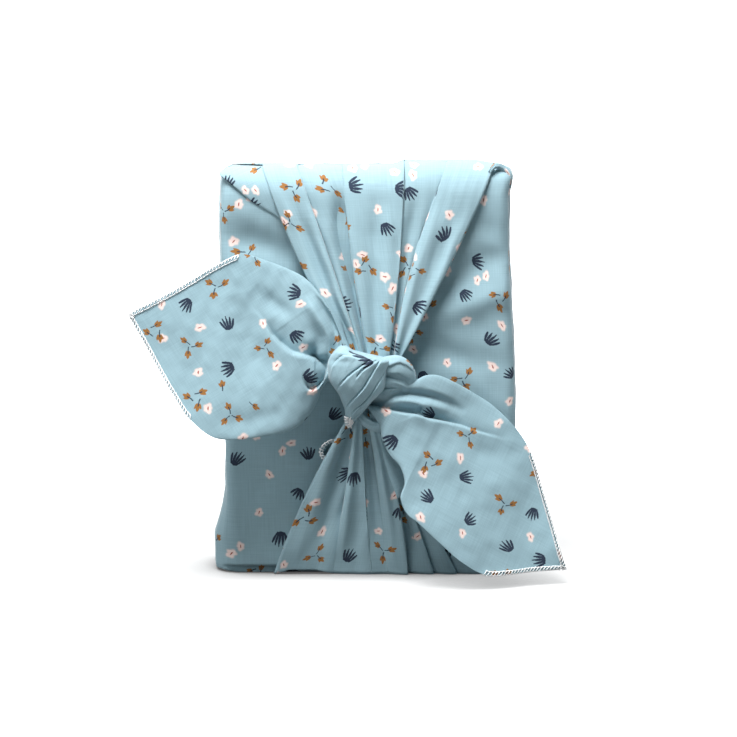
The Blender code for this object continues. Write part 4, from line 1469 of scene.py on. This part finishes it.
def declare(cloth, threads):
    for piece in [*cloth, *threads.values()]:
        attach(piece, BODY)
        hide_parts(NODE)
    for piece in cloth:
        sewn_on = [threads[piece.name]] if piece.name in threads else []


# ---------------------------------------------------------------- floor, light and camera

# Metres and watts, unlike the tables above; the lens is in millimetres.
TARGET = Vector((0.0003, -0.028, 0.1254))
ELEVATION = math.radians(7.0)
DISTANCE = 1.3
LENS = 105.9
FLOOR_HALF = 6.0
FLOOR_BOUNCE = 0.2  # how much of its light the floor gives back to the wrap
FLOOR_SEEN = 0.3  # the same toward the camera
FLOOR_GLOW = 0.62  # painted glow: light the floor gives off toward the camera only, also where the floor is in shadow
FLOOR_SHADE = (0.15, 0.85, 0.15, 1.0)  # how the open share of the sky above the floor sets the painted contact shadow that darkens it
FLOOR_REACH = 0.04  # how far that share looks
FLOOR_FADES = (0.14, 0.4)  # from here to there, in metres, the floor fades into the white room
ROOM_BASE = 0.06
ROOM_BACK = 0.9
ROOM_OVERHEAD = 0.1
ROOM_SIDES = 0.9
ROOM_SEEN = 2.0  # what the camera sees of the room: clear white
ROOM_TINT = (0.35, 0.85, 1.0)
KEY = dict(place=(-0.13, -0.34, 1.03), aim=(0, -0.03, 0.12), size=0.45, power=19.2)
FILL = dict(place=(-0.95, -0.9, 0.45), aim=(0, -0.03, 0.13), size=0.7, power=2.4)


def floor_material():
    """White with a painted contact shadow, a little darker where the wrap stands over it, with a painted
    glow toward the camera, and clear to the camera further out.
    """
    material, shader, n = new_material("floor_white")
    seen = n.add("ShaderNodeLightPath")
    open_share = n.add("ShaderNodeAmbientOcclusion", {"Distance": FLOOR_REACH}, 1, samples=8)
    # painted contact shadow: the floor's colour and glow are darkened where little open sky is near
    painted_shadow = n.step(open_share, *FLOOR_SHADE)
    # painted glow toward the camera only, dimmed by the painted contact shadow
    glow = n.step(seen, 0.0, 1.0, 0.0, FLOOR_GLOW) * painted_shadow
    n.put(shader.inputs["Base Color"], n.grey(n.step(seen, 0.0, 1.0, FLOOR_BOUNCE, FLOOR_SEEN) * painted_shadow))
    n.put(shader.inputs["Emission Strength"], glow)
    shader.inputs["Emission Color"].default_value = (1.0, 1.0, 1.0, 1.0)
    shader.inputs["Roughness"].default_value = 0.9
    shader.inputs["Specular IOR Level"].default_value = 0.1
    x, y, _ = n.apart(n.add("ShaderNodeTexCoord", output=3))
    clear_share = n.step(n.length(x, y), *FLOOR_FADES) * seen
    clear = n.add("ShaderNodeBsdfTransparent")
    mixed = n.add("ShaderNodeMixShader", {0: clear_share, 1: Wire(n, shader.outputs[0]), 2: clear})
    n.put(material.node_tree.nodes["Material Output"].inputs[0], mixed)
    return material


def floor():
    """A white floor under the wrap, with a painted contact shadow and a painted glow."""
    mesh = bpy.data.meshes.new("floor")
    corners = [(x * FLOOR_HALF, y * FLOOR_HALF, 0) for x, y in ((-1, -1), (1, -1), (1, 1), (-1, 1))]
    mesh.from_pydata(corners, [], [(0, 1, 2, 3)])
    mesh.materials.append(floor_material())
    made = placed("floor", mesh)


def aimed(made, place, way):
    """Puts a light or camera at a place, looking a way."""
    made.location = place
    made.rotation_euler = way.to_track_quat("-Z", "Y").to_euler()


def area_light(name, place, aim, size, power):
    """A square soft light aimed at a point."""
    lamp = bpy.data.lights.new(name, "AREA")
    lamp.energy = power
    lamp.size = size
    aimed(placed(name, lamp), place, Vector(aim) - Vector(place))


def studio():
    """A white room, bright behind the wrap and at its sides, and dim in front of it."""
    world = bpy.data.worlds.new("white_room")
    world.use_nodes = True
    n = Nodes(world.node_tree)
    background = world.node_tree.nodes["Background"]
    beside, away, up = n.apart(n.add("ShaderNodeTexCoord"))
    behind = n.step(away, -0.4, 0.7, 0.0, ROOM_BACK)
    overhead = n.step(up, 0.1, 0.95, 0.0, ROOM_OVERHEAD)
    sides = n.step(abs(beside), 0.5, 1.0, 0.0, ROOM_SIDES)
    white = n.math("MAXIMUM", behind + overhead + sides, n.add("ShaderNodeLightPath") * ROOM_SEEN)
    n.put(background.inputs[0], n.vector("ADD", n.grey(white), n.scaled(ROOM_TINT, ROOM_BASE)))
    background.inputs[1].default_value = 1.0
    bpy.context.scene.world = world
    area_light("key", **KEY)
    area_light("fill", **FILL)


def camera():
    """The photographer's view: level with the front, from a little above."""
    lens = bpy.data.cameras.new("camera")
    lens.lens = LENS
    lens.sensor_width = 36.0
    made = placed("camera", lens)
    away = Vector((0.0, -math.cos(ELEVATION), math.sin(ELEVATION)))
    aimed(made, TARGET + away * DISTANCE, -away)
    bpy.context.scene.camera = made
    bpy.context.scene.view_settings.view_transform = "Standard"


camera()
cloth, threads = build_wrap()
dress(cloth, threads)
declare(cloth, threads)
floor()
studio()
